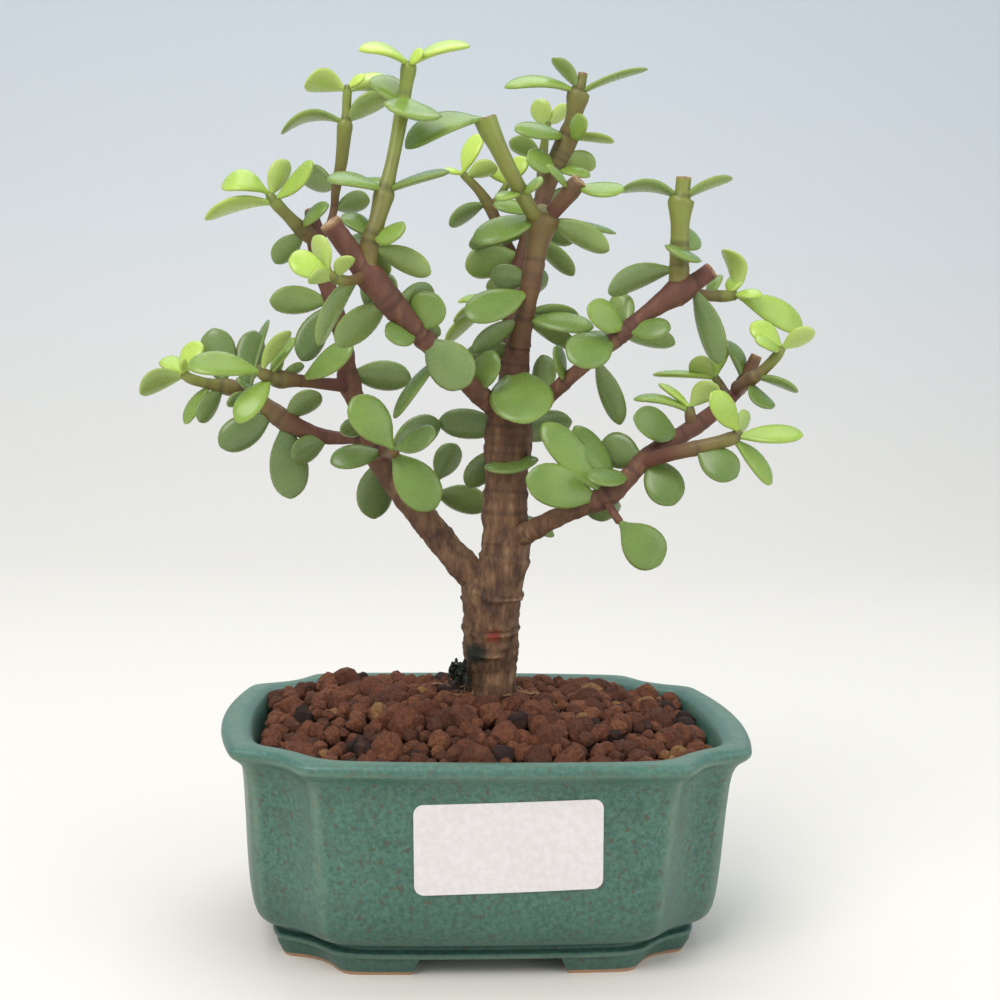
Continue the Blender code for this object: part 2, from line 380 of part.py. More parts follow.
def nearest_gap(point, route):
    """How far the point lies outside the tube along this route."""
    gaps = []
    for (start, r0), (end, r1) in zip(route, route[1:]):
        step = end - start
        t = max(0.0, min(1.0, (point - start).dot(step) / step.length_squared))
        gaps.append((point - start - step * t).length - (r0 + (r1 - r0) * t))
    return min(gaps)


def free_part(name):
    """The stem's middle line, finely divided, from where it has left the stem that it grows from."""
    parent, points, _ = STEMS[name]
    fine = smooth_route(points, ROOT_STEPS)
    start = 0
    if parent:
        base = smooth_route(STEMS[parent][1], 1)
        while start < len(fine) - 2 and nearest_gap(fine[start][0], base) < ROOT_CLEARANCE:
            start += 1
    return fine[start:]


def leaf_shapes(name, grow=0.0):
    """A stem's leaves, each rooted in the stem's middle line."""
    free = free_part(name)
    shapes = []
    for root_a, root_u, tip_a, tip_u, tip_depth, width, tilt, arch in STEMS[name][2]:
        root = min((centre for centre, _ in free), key=lambda c: (seen(root_a, root_u, c.y) - c).length)
        tip = seen(tip_a, tip_u, root.y + tip_depth)
        shapes.append(leaf_mesh(root, tip, width, tilt, arch, grow))
    return shapes


def stem_shape(name, extra=0.0):
    sides = TRUNK_SIDES if name == "trunk" else STEM_SIDES
    return tube(smooth_route(STEMS[name][1], 1), extra, sides)


def shapes_to_clear(name):
    """What a stem's root is cut clear of: its parent, and its parent's leaves that meet it."""
    parent = STEMS[name][0]
    if parent is None:
        return []
    own = bvh(*stem_shape(name))
    return [stem_shape(parent, GAP)] + [shape for shape in leaf_shapes(parent, GAP) if bvh(*shape).overlap(own)]


def join(name, shapes, cutters=()):
    """One closed solid from overlapping ones, less the cutters."""
    group = bpy.data.collections.new(name + "_pieces")
    bpy.context.scene.collection.children.link(group)
    base = fresh_object(name, mesh_from(name, *shapes[0]))
    for k, (points, faces) in enumerate(shapes[1:]):
        piece = bpy.data.objects.new(f"{name}_piece_{k}", mesh_from(f"{name}_piece_{k}", points, faces))
        group.objects.link(piece)
    if len(shapes) > 1:
        union = base.modifiers.new("union", "BOOLEAN")
        union.operation = "UNION"
        union.operand_type = "COLLECTION"
        union.collection = group
        union.solver = "MANIFOLD"
        apply_modifiers(base)
    for cutter in cutters:
        trim = base.modifiers.new("trim", "BOOLEAN")
        trim.operation = "DIFFERENCE"
        trim.object = cutter
        trim.solver = "MANIFOLD"
        apply_modifiers(base)
    for piece in list(group.objects):
        bpy.data.objects.remove(piece)
    bpy.data.collections.remove(group)
    return base


def apply_modifiers(obj):
    graph = bpy.context.evaluated_depsgraph_get()
    made = bpy.data.meshes.new_from_object(obj.evaluated_get(graph))
    obj.modifiers.clear()
    old = obj.data
    obj.data = made
    made.name = obj.name
    bpy.data.meshes.remove(old)


def helper(name, points, faces):
    """A cutter: it shapes other pieces and is no piece itself."""
    obj = fresh_object(name, mesh_from(name, points, faces))
    obj.hide_render = True
    obj.display_type = "WIRE"
    return obj


def largest_body(obj):
    """Keeps the largest connected body and drops the scraps that a cut left."""
    bm = bmesh.new()
    bm.from_mesh(obj.data)
    bmesh.ops.remove_doubles(bm, verts=bm.verts, dist=0.01 * MM)
    unseen = set(bm.faces)
    bodies = []
    while unseen:
        stack, body = [unseen.pop()], []
        while stack:
            face = stack.pop()
            body.append(face)
            for edge in face.edges:
                for other in edge.link_faces:
                    if other in unseen:
                        unseen.discard(other)
                        stack.append(other)
        bodies.append(body)
    bodies.sort(key=len)
    if len(bodies) > 1:
        for body in bodies[:-1]:
            middle = sum((face.calc_center_median() for face in body), Vector()) / len(body) / MM
            print(obj.name, "dropped a scrap of", len(body), "faces at", [round(c, 1) for c in middle])
    for body in bodies[:-1]:
        bmesh.ops.delete(bm, geom=body, context="FACES")
    bm.to_mesh(obj.data)
    bm.free()


def side_bulge_at(inset):
    """How far the side face bows out. It bows most at the rim."""
    return max(1.0, SIDE_BULGE - 0.3 * inset)


def front_bulge_at(inset):
    return max(0.6, FRONT_BULGE - 0.08 * inset)


def rim_outline(inset, sag=NOTCH_SAG, face_steps=2, notch_steps=5):
    """The notched outline, moved in by the inset: one quarter, turned round the four corners."""
    front, side = FRONT_LOBE - inset * LOBE_SHARE, SIDE_LOBE - inset * LOBE_SHARE
    length, depth = RIM_HALF_LENGTH - inset, RIM_HALF_DEPTH - inset
    side_bulge, front_bulge = side_bulge_at(inset), front_bulge_at(inset)
    quarter = []
    for k in range(face_steps):
        y = side * k / face_steps
        quarter.append((length + side_bulge * (1 - (y / side) ** 2), y))
    start, end = Vector((length, side)), Vector((front, depth))
    inward = Vector((start.y - end.y, end.x - start.x)).normalized()
    for k in range(notch_steps + 1):
        t = k / notch_steps
        point = start.lerp(end, t) + inward * (4 * sag * t * (1 - t))
        quarter.append(tuple(point))
    for k in range(1, face_steps):
        x = front * (1 - k / face_steps)
        quarter.append((x, depth + front_bulge * (1 - (x / front) ** 2)))
    top = quarter + [(0.0, depth + front_bulge)] + [(-x, y) for x, y in reversed(quarter[1:])]
    bottom = [(-x, -y) for x, y in quarter] + [(0.0, -depth - front_bulge)]
    bottom += [(x, -y) for x, y in reversed(quarter[1:])]
    return top + bottom


def skin(rings):
    """Points and faces of a closed solid through rings of equal length, capped at both ends."""
    count = len(rings[0])
    points = [point for ring in rings for point in ring]
    faces = []
    for i in range(len(rings) - 1):
        for k in range(count):
            a, b = i * count + k, i * count + (k + 1) % count
            faces.append((a, b, b + count, a + count))
    faces.append(tuple(reversed(range(count))))
    faces.append(tuple(range(len(points) - count, len(points))))
    return points, faces


def ring_at(inset, height, sag=NOTCH_SAG):
    return [(x, y, height) for x, y in rim_outline(inset, sag)]


def cylinder(x, y, low, high, radius, sides=16):
    rings = []
    for z in (low, high):
        rings.append([
            (x + radius * math.cos(2 * math.pi * k / sides), y + radius * math.sin(2 * math.pi * k / sides), z)
            for k in range(sides)])
    return skin(rings)


def make_pot():
    rings = [ring_at(inset, z) for inset, z in OUTER_WALL]
    rings += [ring_at(inset, z, INNER_NOTCH_SAG) for inset, z in INNER_WALL]
    low_inset, low_z = OUTER_WALL[0]
    foot = skin([ring_at(FOOT_OUTER[0], 0.0), ring_at(FOOT_OUTER[1], FOOT_TOP)])
    hollow = helper("foot_hollow", *skin([
        ring_at(FOOT_OUTER[0] + FOOT_THICKNESS, -1.0), ring_at(FOOT_OUTER[1] + FOOT_THICKNESS, low_z)]))
    half_l, half_d = FOOT_GAP_LENGTH / 2, FOOT_GAP_DEPTH / 2
    slope = 2.2
    long_gap = helper("long_foot_gap", *skin([
        [(-half_l + s, -80, z), (half_l - s, -80, z), (half_l - s, 80, z), (-half_l + s, 80, z)]
        for s, z in ((-slope, -1.0), (slope, low_z))]))
    short_gap = helper("short_foot_gap", *skin([
        [(-80, -half_d + s, z), (80, -half_d + s, z), (80, half_d - s, z), (-80, half_d - s, z)]
        for s, z in ((-slope, -1.0), (slope, low_z))]))
    feet = join("feet", [foot], [hollow, long_gap, short_gap])
    foot_points = [tuple(c / MM for c in v.co) for v in feet.data.vertices]
    foot_faces = [tuple(p.vertices) for p in feet.data.polygons]
    bpy.data.objects.remove(feet)
    drains = [
        helper(f"drain_{k}", *cylinder(x, 0, -2, FLOOR_TOP + 4, DRAIN_RADIUS))
        for k, x in enumerate((-DRAIN_SPACING / 2, DRAIN_SPACING / 2))]
    pot = join("pot", [skin(rings), (foot_points, foot_faces)], drains)
    paint(pot, "green_glaze", (0.12, 0.30, 0.22), 0.35)
    return pot


def make_label():
    """A thin paper label with round corners, just clear of the front wall."""
    half_w, half_h = LABEL_SIZE[0] / 2, LABEL_SIZE[1] / 2
    outline = []
    for cx, cz, start in ((1, 1, 0), (-1, 1, 90), (-1, -1, 180), (1, -1, 270)):
        for k in range(4):
            turn = math.radians(start + 30 * k)
            outline.append((
                cx * (half_w - LABEL_CORNER) + LABEL_CORNER * math.cos(turn),
                cz * (half_h - LABEL_CORNER) + LABEL_CORNER * math.sin(turn)))
    turn = math.radians(LABEL_TURN)
    turned = [
        (x * math.cos(turn) - z * math.sin(turn) + LABEL_CENTRE[0],
         x * math.sin(turn) + z * math.cos(turn) + LABEL_CENTRE[1]) for x, z in outline]
    rings = []
    for out in (GAP, GAP + LABEL_THICKNESS):
        rings.append([(x, -front_wall(z) - out, z) for x, z in turned])
    label = fresh_object("label", mesh_from("label", *skin(rings)))
    paint(label, "label_paper", (0.85, 0.82, 0.80), 0.5)
    return label


def front_wall(z):
    """How far forward the pot's front wall reaches at a height, at its bulging middle."""
    for (in0, z0), (in1, z1) in zip(OUTER_WALL, OUTER_WALL[1:]):
        if z0 <= z <= z1:
            inset = in0 + (in1 - in0) * (z - z0) / (z1 - z0)
            return RIM_HALF_DEPTH - inset + front_bulge_at(inset)
    return RIM_HALF_DEPTH


def bed_height(x, y):
    """The granule bed's level: a low mound round the trunk."""
    away = math.hypot(x / 52.0, y / 38.0)
    return BED_EDGE_LEVEL + BED_CROWN * max(0.0, 1 - away * away)


def granule(x, y, z, size, rng):
    """One rough granule: a jittered cube, turned at random."""
    turn = Matrix.Rotation(rng.uniform(0, 6.28), 3, "Z") @ Matrix.Rotation(rng.uniform(0, 3.14), 3, "X")
    stretch = [size * rng.uniform(0.62, 0.86) for _ in range(3)]
    points = []
    for corner in range(8):
        signs = [1 if corner >> bit & 1 else -1 for bit in range(3)]
        p = turn @ Vector([side * length * rng.uniform(0.78, 1.1) for side, length in zip(signs, stretch)])
        points.append((x + p.x, y + p.y, z + p.z))
    sides = [(0, 2, 3, 1), (4, 5, 7, 6), (0, 1, 5, 4), (2, 6, 7, 3), (0, 4, 6, 2), (1, 3, 7, 5)]
    faces = []
    for i, j, k, m in sides:
        faces += [(i, j, k), (i, k, m)]
    return points, faces


def granule_places(rng):
    """Staggered rows of granule centres and sizes, a little out of line, inside the pot's walls."""
    places = []
    row, y = 0, -BED_REACH[1]
    while y <= BED_REACH[1]:
        x = (row % 2) * GRANULE_PITCH / 2 - BED_REACH[0]
        while x <= BED_REACH[0]:
            gx = x + rng.uniform(-GRANULE_JITTER[0], GRANULE_JITTER[0])
            gy = y + rng.uniform(-GRANULE_JITTER[1], GRANULE_JITTER[1])
            size = rng.uniform(*GRANULE_RADIUS)
            if inside_bed(gx, gy, size):
                places.append((gx, gy, size))
            x += GRANULE_PITCH
        y += GRANULE_PITCH * ROW_SHARE
        row += 1
    return places


def mound_ring(share, height=None):
    """A ring of the mound under the granules, at the bed's own height or at the one given."""
    ring = []
    for k in range(MOUND_SIDES):
        turn = math.tau * k / MOUND_SIDES
        x, y = MOUND[0] * share * math.cos(turn), MOUND[1] * share * math.sin(turn)
        ring.append((x, y, bed_height(x, y) - MOUND_SINK if height is None else height))
    return ring


def make_bed(trunk_cutter):
    """The soil block under a mound covered in granules, with a plain hole for the trunk."""
    block = [ring_at(inset + GAP, z + 0.4, INNER_NOTCH_SAG) for inset, z in reversed(INNER_WALL[:-1])]
    block[-1] = [(x, y, BED_EDGE_LEVEL - 2.4) for x, y, _ in block[-1]]
    mound = [mound_ring(1.0, BED_EDGE_LEVEL - 4)] + [mound_ring(share) for share in (1.0, 0.72, 0.42)]
    rng = random.Random(GRANULE_SEED)
    granules = [granule(x, y, bed_height(x, y) - GRANULE_SINK, size, rng) for x, y, size in granule_places(rng)]
    bed = join("granule_bed", [skin(block), skin(mound)] + granules, [trunk_cutter])
    largest_body(bed)
    paint(bed, "granules", (0.16, 0.07, 0.045), 0.9)


def inside_bed(x, y, margin):
    """Whether a granule of this size stays clear of the pot's inner wall."""
    inset = INNER_WALL[0][0] + 0.6 + margin
    length, depth = RIM_HALF_LENGTH - inset, RIM_HALF_DEPTH - inset
    side, front = SIDE_LOBE - inset * LOBE_SHARE, FRONT_LOBE - inset * LOBE_SHARE
    if abs(x) > length or abs(y) > depth:
        return False
    over = (abs(x) - front) / (length - front) + (abs(y) - side) / (depth - side)
    return over < 0.8


def make_tree():
    for name in STEMS:
        cutters = [helper(f"{name}_clear_{k}", *shape) for k, shape in enumerate(shapes_to_clear(name))]
        stem = join(name, [stem_shape(name)] + leaf_shapes(name), cutters)
        for cutter in cutters:
            bpy.data.objects.remove(cutter)
        largest_body(stem)
        if name in BARE_STEMS:
            paint(stem, "bark", (0.13, 0.065, 0.04), 0.8)
        else:
            paint(stem, "leaves", (0.13, 0.25, 0.05), 0.4)


def centre_on_origin():
    """Moves every piece so that the whole part's box is centred on the upright axis."""
    pieces = [obj for obj in bpy.data.objects if not obj.hide_render]
    points = [vert.co for obj in pieces for vert in obj.data.vertices]
    low = Vector([min(point[i] for point in points) for i in range(3)])
    high = Vector([max(point[i] for point in points) for i in range(3)])
    shift = Vector((-(low.x + high.x) / 2, -(low.y + high.y) / 2, -low.z))
    for obj in pieces:
        obj.data.transform(Matrix.Translation(shift))
    print("moved by", [round(c / MM, 3) for c in shift])


def main():
    for obj in list(bpy.data.objects):
        bpy.data.objects.remove(obj)
    make_pot()
    make_label()
    make_tree()
    make_bed(helper("trunk_hole", *stem_shape("trunk", GAP)))
    centre_on_origin()


main()
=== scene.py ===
# %% [markdown]
# This lesson dresses a dwarf jade bonsai in its glazed pot. The plain solids of the part are loaded
# first, as a fixed frame. Each finer piece is then made in the same place as the solid it stands for.

# %% Load the frame
import math
import random

import bmesh
import bpy
from mathutils import Matrix, Vector, noise


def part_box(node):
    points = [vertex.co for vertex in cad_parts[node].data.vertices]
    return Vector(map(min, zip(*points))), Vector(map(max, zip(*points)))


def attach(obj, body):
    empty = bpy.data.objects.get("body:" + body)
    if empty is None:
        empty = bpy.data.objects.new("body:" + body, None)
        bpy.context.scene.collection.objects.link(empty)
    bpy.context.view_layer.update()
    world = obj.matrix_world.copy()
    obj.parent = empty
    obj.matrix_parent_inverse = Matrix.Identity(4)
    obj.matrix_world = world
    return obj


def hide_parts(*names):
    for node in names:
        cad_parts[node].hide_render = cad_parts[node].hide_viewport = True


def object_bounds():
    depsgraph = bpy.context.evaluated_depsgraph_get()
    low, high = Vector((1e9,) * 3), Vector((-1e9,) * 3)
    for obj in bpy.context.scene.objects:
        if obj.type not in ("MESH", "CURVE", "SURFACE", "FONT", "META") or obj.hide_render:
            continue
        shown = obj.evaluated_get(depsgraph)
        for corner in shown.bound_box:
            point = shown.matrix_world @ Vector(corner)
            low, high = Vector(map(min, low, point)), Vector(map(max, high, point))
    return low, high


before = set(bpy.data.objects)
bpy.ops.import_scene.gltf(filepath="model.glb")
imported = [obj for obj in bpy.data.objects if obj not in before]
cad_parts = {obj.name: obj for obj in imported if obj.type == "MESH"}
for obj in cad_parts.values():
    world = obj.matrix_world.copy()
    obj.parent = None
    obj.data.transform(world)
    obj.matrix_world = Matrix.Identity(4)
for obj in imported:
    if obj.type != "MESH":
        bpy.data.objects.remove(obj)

MM = 0.001
EDGE = 0.02 * MM
cad_low, cad_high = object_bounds()
pot_low, pot_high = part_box("pot")
SHIFT = Vector(((pot_low.x + pot_high.x) / 2, (pot_low.y + pot_high.y) / 2, 0.0))
print("nodes", len(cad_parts), "pot's centre", [round(c / MM, 2) for c in SHIFT])

# %% [markdown]
# The camera comes first, because the tree was measured from it. It stands in front of the pot
# and a little to the left, looks slightly down, and has the view of a 54 mm lens.

# %% The camera
EYE = Vector((-30.3, -367.1, 144.4))
LOOK = Vector((0.0888, 0.9908, -0.1019))
UP = Vector((-0.0168, 0.1038, 0.9945))


def make_camera():
    data = bpy.data.cameras.new("camera")
    data.lens = 54.0
    data.sensor_width = 36.0
    data.clip_start = 0.01
    data.clip_end = 20.0
    camera = bpy.data.objects.new("camera", data)
    bpy.context.scene.collection.objects.link(camera)
    back = -LOOK.normalized()
    right = UP.cross(back).normalized()
    up = back.cross(right)
    place = Matrix((right, up, back)).transposed().to_4x4()
    place.translation = SHIFT + EYE * MM
    camera.matrix_world = place
    bpy.context.scene.camera = camera


make_camera()

# %% [markdown]
# A few helpers serve every piece. One drops all selections, because the loaded solids start selected.
# One picks vertices by a test on their place. One settles a finished piece: it applies the modifiers,
# fixes the normals, and hands the piece to the frame with its material and the solids that it replaces.

# %% Helpers for modelling and for handing a piece over


def nothing_selected():
    if bpy.context.mode != "OBJECT":
        bpy.ops.object.mode_set(mode="OBJECT")
    bpy.ops.object.select_all(action="DESELECT")


def start_piece(name, add, **sizes):
    """Adds a primitive with the given operator, names it, and applies its transform."""
    nothing_selected()
    add(**sizes)
    piece = bpy.context.active_object
    piece.name = name
    piece.data.name = name
    bpy.ops.object.transform_apply(location=True, rotation=True, scale=True)
    return piece


def pick(piece, test, kind="VERT"):
    """In edit mode, selects just the vertices, edges or faces whose middle passes the test."""
    bpy.ops.mesh.select_all(action="DESELECT")
    mesh = bmesh.from_edit_mesh(piece.data)
    bpy.ops.mesh.select_mode(type=kind)
    group = {"VERT": mesh.verts, "EDGE": mesh.edges, "FACE": mesh.faces}[kind]
    for item in group:
        middle = item.co if kind == "VERT" else sum((v.co for v in item.verts), Vector()) / len(item.verts)
        if test(middle):
            item.select_set(True)
    mesh.select_flush_mode()
    bmesh.update_edit_mesh(piece.data)


def finish_modifiers(piece):
    nothing_selected()
    piece.select_set(True)
    bpy.context.view_layer.objects.active = piece
    for modifier in list(piece.modifiers):
        bpy.ops.object.modifier_apply(modifier=modifier.name)


def smooth(piece, angle=40.0):
    nothing_selected()
    piece.select_set(True)
    bpy.context.view_layer.objects.active = piece
    bpy.ops.object.shade_smooth_by_angle(angle=math.radians(angle))


def face_out(piece, merge=0.00001):
    nothing_selected()
    piece.select_set(True)
    bpy.context.view_layer.objects.active = piece
    bpy.ops.object.mode_set(mode="EDIT")
    bpy.ops.mesh.select_all(action="SELECT")
    bpy.ops.mesh.remove_doubles(threshold=merge)
    bpy.ops.mesh.normals_make_consistent(inside=False)
    bpy.ops.object.mode_set(mode="OBJECT")


def hand_over(piece, slot, material, *nodes):
    """Shifts a piece from the pot's own centre to its place, and gives it to the frame."""
    piece.data.transform(Matrix.Translation(SHIFT))
    for vert in piece.data.vertices:
        vert.co = [max(low + EDGE, min(high - EDGE, c)) for c, low, high in zip(vert.co, cad_low, cad_high)]
    piece.data.materials.clear()
    piece.data.materials.append(material)
    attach(piece, "root")
    if nodes:
        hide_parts(*nodes)


def store(piece, name, values):
    """Keeps one number for each vertex, which a material can read."""
    attribute = piece.data.attributes.get(name) or piece.data.attributes.new(name, "FLOAT", "POINT")
    attribute.data.foreach_set("value", values)


# %% [markdown]
# Materials are small node trees. A tiny helper keeps their making readable: it adds a node, sets its
# numbers, and joins its inputs to other nodes' outputs.

# %% Helpers for materials


class Tree:
    """A material's nodes, with a short way to add and join them."""

    def __init__(self, name, roughness, **constants):
        self.material = bpy.data.materials.new(name)
        self.material.use_nodes = True
        self.nodes = self.material.node_tree.nodes
        self.links = self.material.node_tree.links
        self.shader = self.nodes["Principled BSDF"]
        self.shader.inputs["Roughness"].default_value = roughness
        for key, value in constants.items():
            self.shader.inputs[key.replace("_", " ")].default_value = value
        self.place = self.nodes.new("ShaderNodeTexCoord").outputs["Object"]

    def put(self, socket, value):
        if isinstance(value, bpy.types.NodeSocket):
            self.links.new(value, socket)
        else:
            socket.default_value = value

    def noise(self, scale, detail=4.0, rough=0.55, stretch=None):
        node = self.nodes.new("ShaderNodeTexNoise")
        node.inputs["Scale"].default_value = scale
        node.inputs["Detail"].default_value = detail
        node.inputs["Roughness"].default_value = rough
        self.put(node.inputs["Vector"], self.scaled(stretch) if stretch else self.place)
        return node.outputs["Fac"]

    def cells(self, scale, feature="F1", stretch=None):
        node = self.nodes.new("ShaderNodeTexVoronoi")
        node.feature = feature
        node.inputs["Scale"].default_value = scale
        self.put(node.inputs["Vector"], self.scaled(stretch) if stretch else self.place)
        return node.outputs["Distance"]

    def scaled(self, stretch):
        node = self.nodes.new("ShaderNodeMapping")
        node.inputs["Scale"].default_value = stretch
        self.put(node.inputs["Vector"], self.place)
        return node.outputs["Vector"]

    def attribute(self, name):
        node = self.nodes.new("ShaderNodeAttribute")
        node.attribute_name = name
        return node.outputs["Fac"]

    def height(self):
        node = self.nodes.new("ShaderNodeSeparateXYZ")
        self.put(node.inputs[0], self.place)
        return node.outputs["Z"]

    def ramp(self, value, *stops):
        """Colours or greys along a value. Each stop is (place, colour) or (place, grey)."""
        node = self.nodes.new("ShaderNodeValToRGB")
        elements = node.color_ramp.elements
        while len(elements) < len(stops):
            elements.new(0.5)
        for element, (place, color) in zip(elements, stops):
            element.position = place
            element.color = (*color, 1.0) if isinstance(color, tuple) else (color, color, color, 1.0)
        self.put(node.inputs["Fac"], value)
        return node.outputs["Color"]

    def span(self, value, low, high, to_low=0.0, to_high=1.0):
        node = self.nodes.new("ShaderNodeMapRange")
        for key, number in (("From Min", low), ("From Max", high), ("To Min", to_low), ("To Max", to_high)):
            node.inputs[key].default_value = number
        self.put(node.inputs["Value"], value)
        return node.outputs["Result"]

    def mix(self, share, a, b, mode="MIX"):
        node = self.nodes.new("ShaderNodeMix")
        node.data_type = "RGBA"
        node.blend_type = mode
        self.put(node.inputs["Factor"], share)
        for socket, value in ((node.inputs["A"], a), (node.inputs["B"], b)):
            colors = [s for s in node.inputs if s.name == socket.name and s.type == "RGBA"]
            self.put(colors[0], (*value, 1.0) if isinstance(value, tuple) else value)
        return [s for s in node.outputs if s.type == "RGBA"][0]

    def math(self, operation, a, b=0.0):
        node = self.nodes.new("ShaderNodeMath")
        node.operation = operation
        self.put(node.inputs[0], a)
        self.put(node.inputs[1], b)
        return node.outputs["Value"]

    def color(self, value):
        self.put(self.shader.inputs["Base Color"], value)

    def roughness(self, value):
        self.put(self.shader.inputs["Roughness"], value)

    def bump(self, value, depth, strength=1.0):
        node = self.nodes.new("ShaderNodeBump")
        node.inputs["Distance"].default_value = depth
        node.inputs["Strength"].default_value = strength
        self.put(node.inputs["Height"], value)
        if self.shader.inputs["Normal"].is_linked:
            self.put(node.inputs["Normal"], self.shader.inputs["Normal"].links[0].from_socket)
        self.put(self.shader.inputs["Normal"], node.outputs["Normal"])


# %% [markdown]
# The pot wears a matt green glaze. It is darker towards the bottom of the wall. It is paler and browner on
# sharp edges, partly where the glaze thins over them and partly as a painted highlight, and a band of
# painted highlight lightens the top of the lip. Fine specks and pits cover it. A stored number on each
# vertex, 1 on a ridge and 0 elsewhere, tells the material where the edges are. The foot's bottom is bare
# clay. An image could carry all this, but noise at real sizes suits any view.

# %% The pot's finish


def glaze_material():
    tree = Tree("green_glaze", 0.38, IOR=1.5)
    cloud = tree.noise(38, 5, 0.6)
    speck = tree.noise(900, 3, 0.7)
    blotch = tree.noise(150, 4, 0.6)
    base = tree.ramp(
        cloud, (0.3, (0.030, 0.088, 0.064)), (0.52, (0.046, 0.122, 0.090)), (0.72, (0.070, 0.165, 0.124)))
    fine = tree.ramp(
        speck, (0.36, (0.020, 0.052, 0.036)), (0.5, (0.048, 0.140, 0.100)), (0.66, (0.105, 0.220, 0.165)))
    color = tree.mix(0.5, base, fine)
    fleck = tree.ramp(tree.noise(620, 2, 0.5), (0.60, 0.0), (0.68, 0.75))
    color = tree.mix(fleck, color, (0.075, 0.058, 0.030))
    brown = tree.ramp(blotch, (0.54, 0.0), (0.74, 0.5))
    color = tree.mix(brown, color, (0.058, 0.080, 0.046))
    height = tree.height()
    # Darker towards the bottom of the wall, below about 22 mm.
    low = tree.ramp(tree.span(height, 0.006, 0.022), (0.0, 0.5), (1.0, 0.0))
    color = tree.mix(low, color, (0.022, 0.066, 0.050))
    # Painted highlight: a paler band over the top of the lip.
    high = tree.ramp(tree.span(height, 0.047, 0.053), (0.0, 0.0), (1.0, 0.3))
    color = tree.mix(high, color, (0.090, 0.220, 0.170))
    # Paler on ridges: partly the glaze thinning over the edges, partly a painted highlight.
    ridge = tree.attribute("ridge")
    thin_glaze_and_highlight = tree.math("MULTIPLY", ridge, tree.span(tree.noise(260, 4), 0.3, 0.6, 0.35, 1.0))
    color = tree.mix(thin_glaze_and_highlight, color, (0.170, 0.250, 0.170))
    waver = tree.span(tree.noise(120), 0.0, 1.0, -0.0004, 0.0004)
    bare = tree.ramp(tree.span(tree.math("ADD", height, waver), 0.0, 0.004), (0.16, 1.0), (0.26, 0.0))
    color = tree.mix(bare, color, (0.42, 0.24, 0.13))
    tree.color(color)
    tree.roughness(tree.span(speck, 0.3, 0.7, 0.30, 0.52))
    tree.bump(speck, 0.00012, 0.5)
    tree.bump(blotch, 0.0003, 0.35)
    return tree.material


glaze = glaze_material()

# %% [markdown]
# The pot is a slip-cast form: its outline is a rectangle whose corners are notched by hollow arcs. It could
# be cut with Booleans, but walls that follow one outline are quicker made by hand as a maker throws them:
# start from a ring of vertices, extrude it upwards step by step, and move each new ring to its outline.

# %% The pot's outline
RIM_HALF_LENGTH = 60.0
RIM_HALF_DEPTH = 46.5
FRONT_LOBE = 44.2
SIDE_LOBE = 33.3
LOBE_SHARE = 0.82
FRONT_BULGE = 1.8
SIDE_BULGE = 4.7
NOTCH_SAG = 3.4
INNER_NOTCH_SAG = 1.5
CUSP_ROUND = 0.055
FACE_STEPS = 9
NOTCH_STEPS = 8


def side_bulge_at(inset):
    return max(1.0, SIDE_BULGE - 0.3 * inset)


def front_bulge_at(inset):
    return max(0.6, FRONT_BULGE - 0.08 * inset)


def quarter_outline(inset, sag):
    """One quarter of the outline, from the middle of the right side to the middle of the back."""
    front, side = FRONT_LOBE - inset * LOBE_SHARE, SIDE_LOBE - inset * LOBE_SHARE
    length, depth = RIM_HALF_LENGTH - inset, RIM_HALF_DEPTH - inset
    shares = [k / FACE_STEPS for k in range(FACE_STEPS)] + [1 - CUSP_ROUND]
    rows = [((length + side_bulge_at(inset) * (1 - t * t), side * t), 0.0) for t in shares]
    start, end = Vector((length, side)), Vector((front, depth))
    inward = Vector((start.y - end.y, end.x - start.x)).normalized()
    for k in range(NOTCH_STEPS + 1):
        t = k / NOTCH_STEPS
        point = start.lerp(end, t) + inward * (4 * sag * t * (1 - t))
        rows.append((tuple(point), 1.0 if k in (0, NOTCH_STEPS) else 0.0))
    for t in reversed(shares[1:]):
        rows.append(((front * t, depth + front_bulge_at(inset) * (1 - t * t)), 0.0))
    return rows


def eased(rows, passes):
    """The closed outline with its corners rounded: in each pass a point moves halfway to its neighbours."""
    for _ in range(passes):
        points = [Vector(point) for point, _ in rows]
        around = [points[k - 1] + points[(k + 1) % len(points)] for k in range(len(points))]
        rows = [(tuple(p / 2 + n / 4), ridge) for p, n, (_, ridge) in zip(points, around, rows)]
    return rows


def full_outline(inset, sag=NOTCH_SAG, passes=2):
    quarter = quarter_outline(inset, sag)
    reach = RIM_HALF_DEPTH - inset + front_bulge_at(inset)
    rows = quarter + [((0.0, reach), 0.0)]
    rows += [((-x, y), ridge) for (x, y), ridge in reversed(quarter[1:])]
    rows += [((-x, -y), ridge) for (x, y), ridge in quarter] + [((0.0, -reach), 0.0)]
    rows += [((x, -y), ridge) for (x, y), ridge in reversed(quarter[1:])]
    return eased(rows, passes)


print("points in the outline", len(full_outline(0.0)))

# %% Extruding a wall through a list of rings


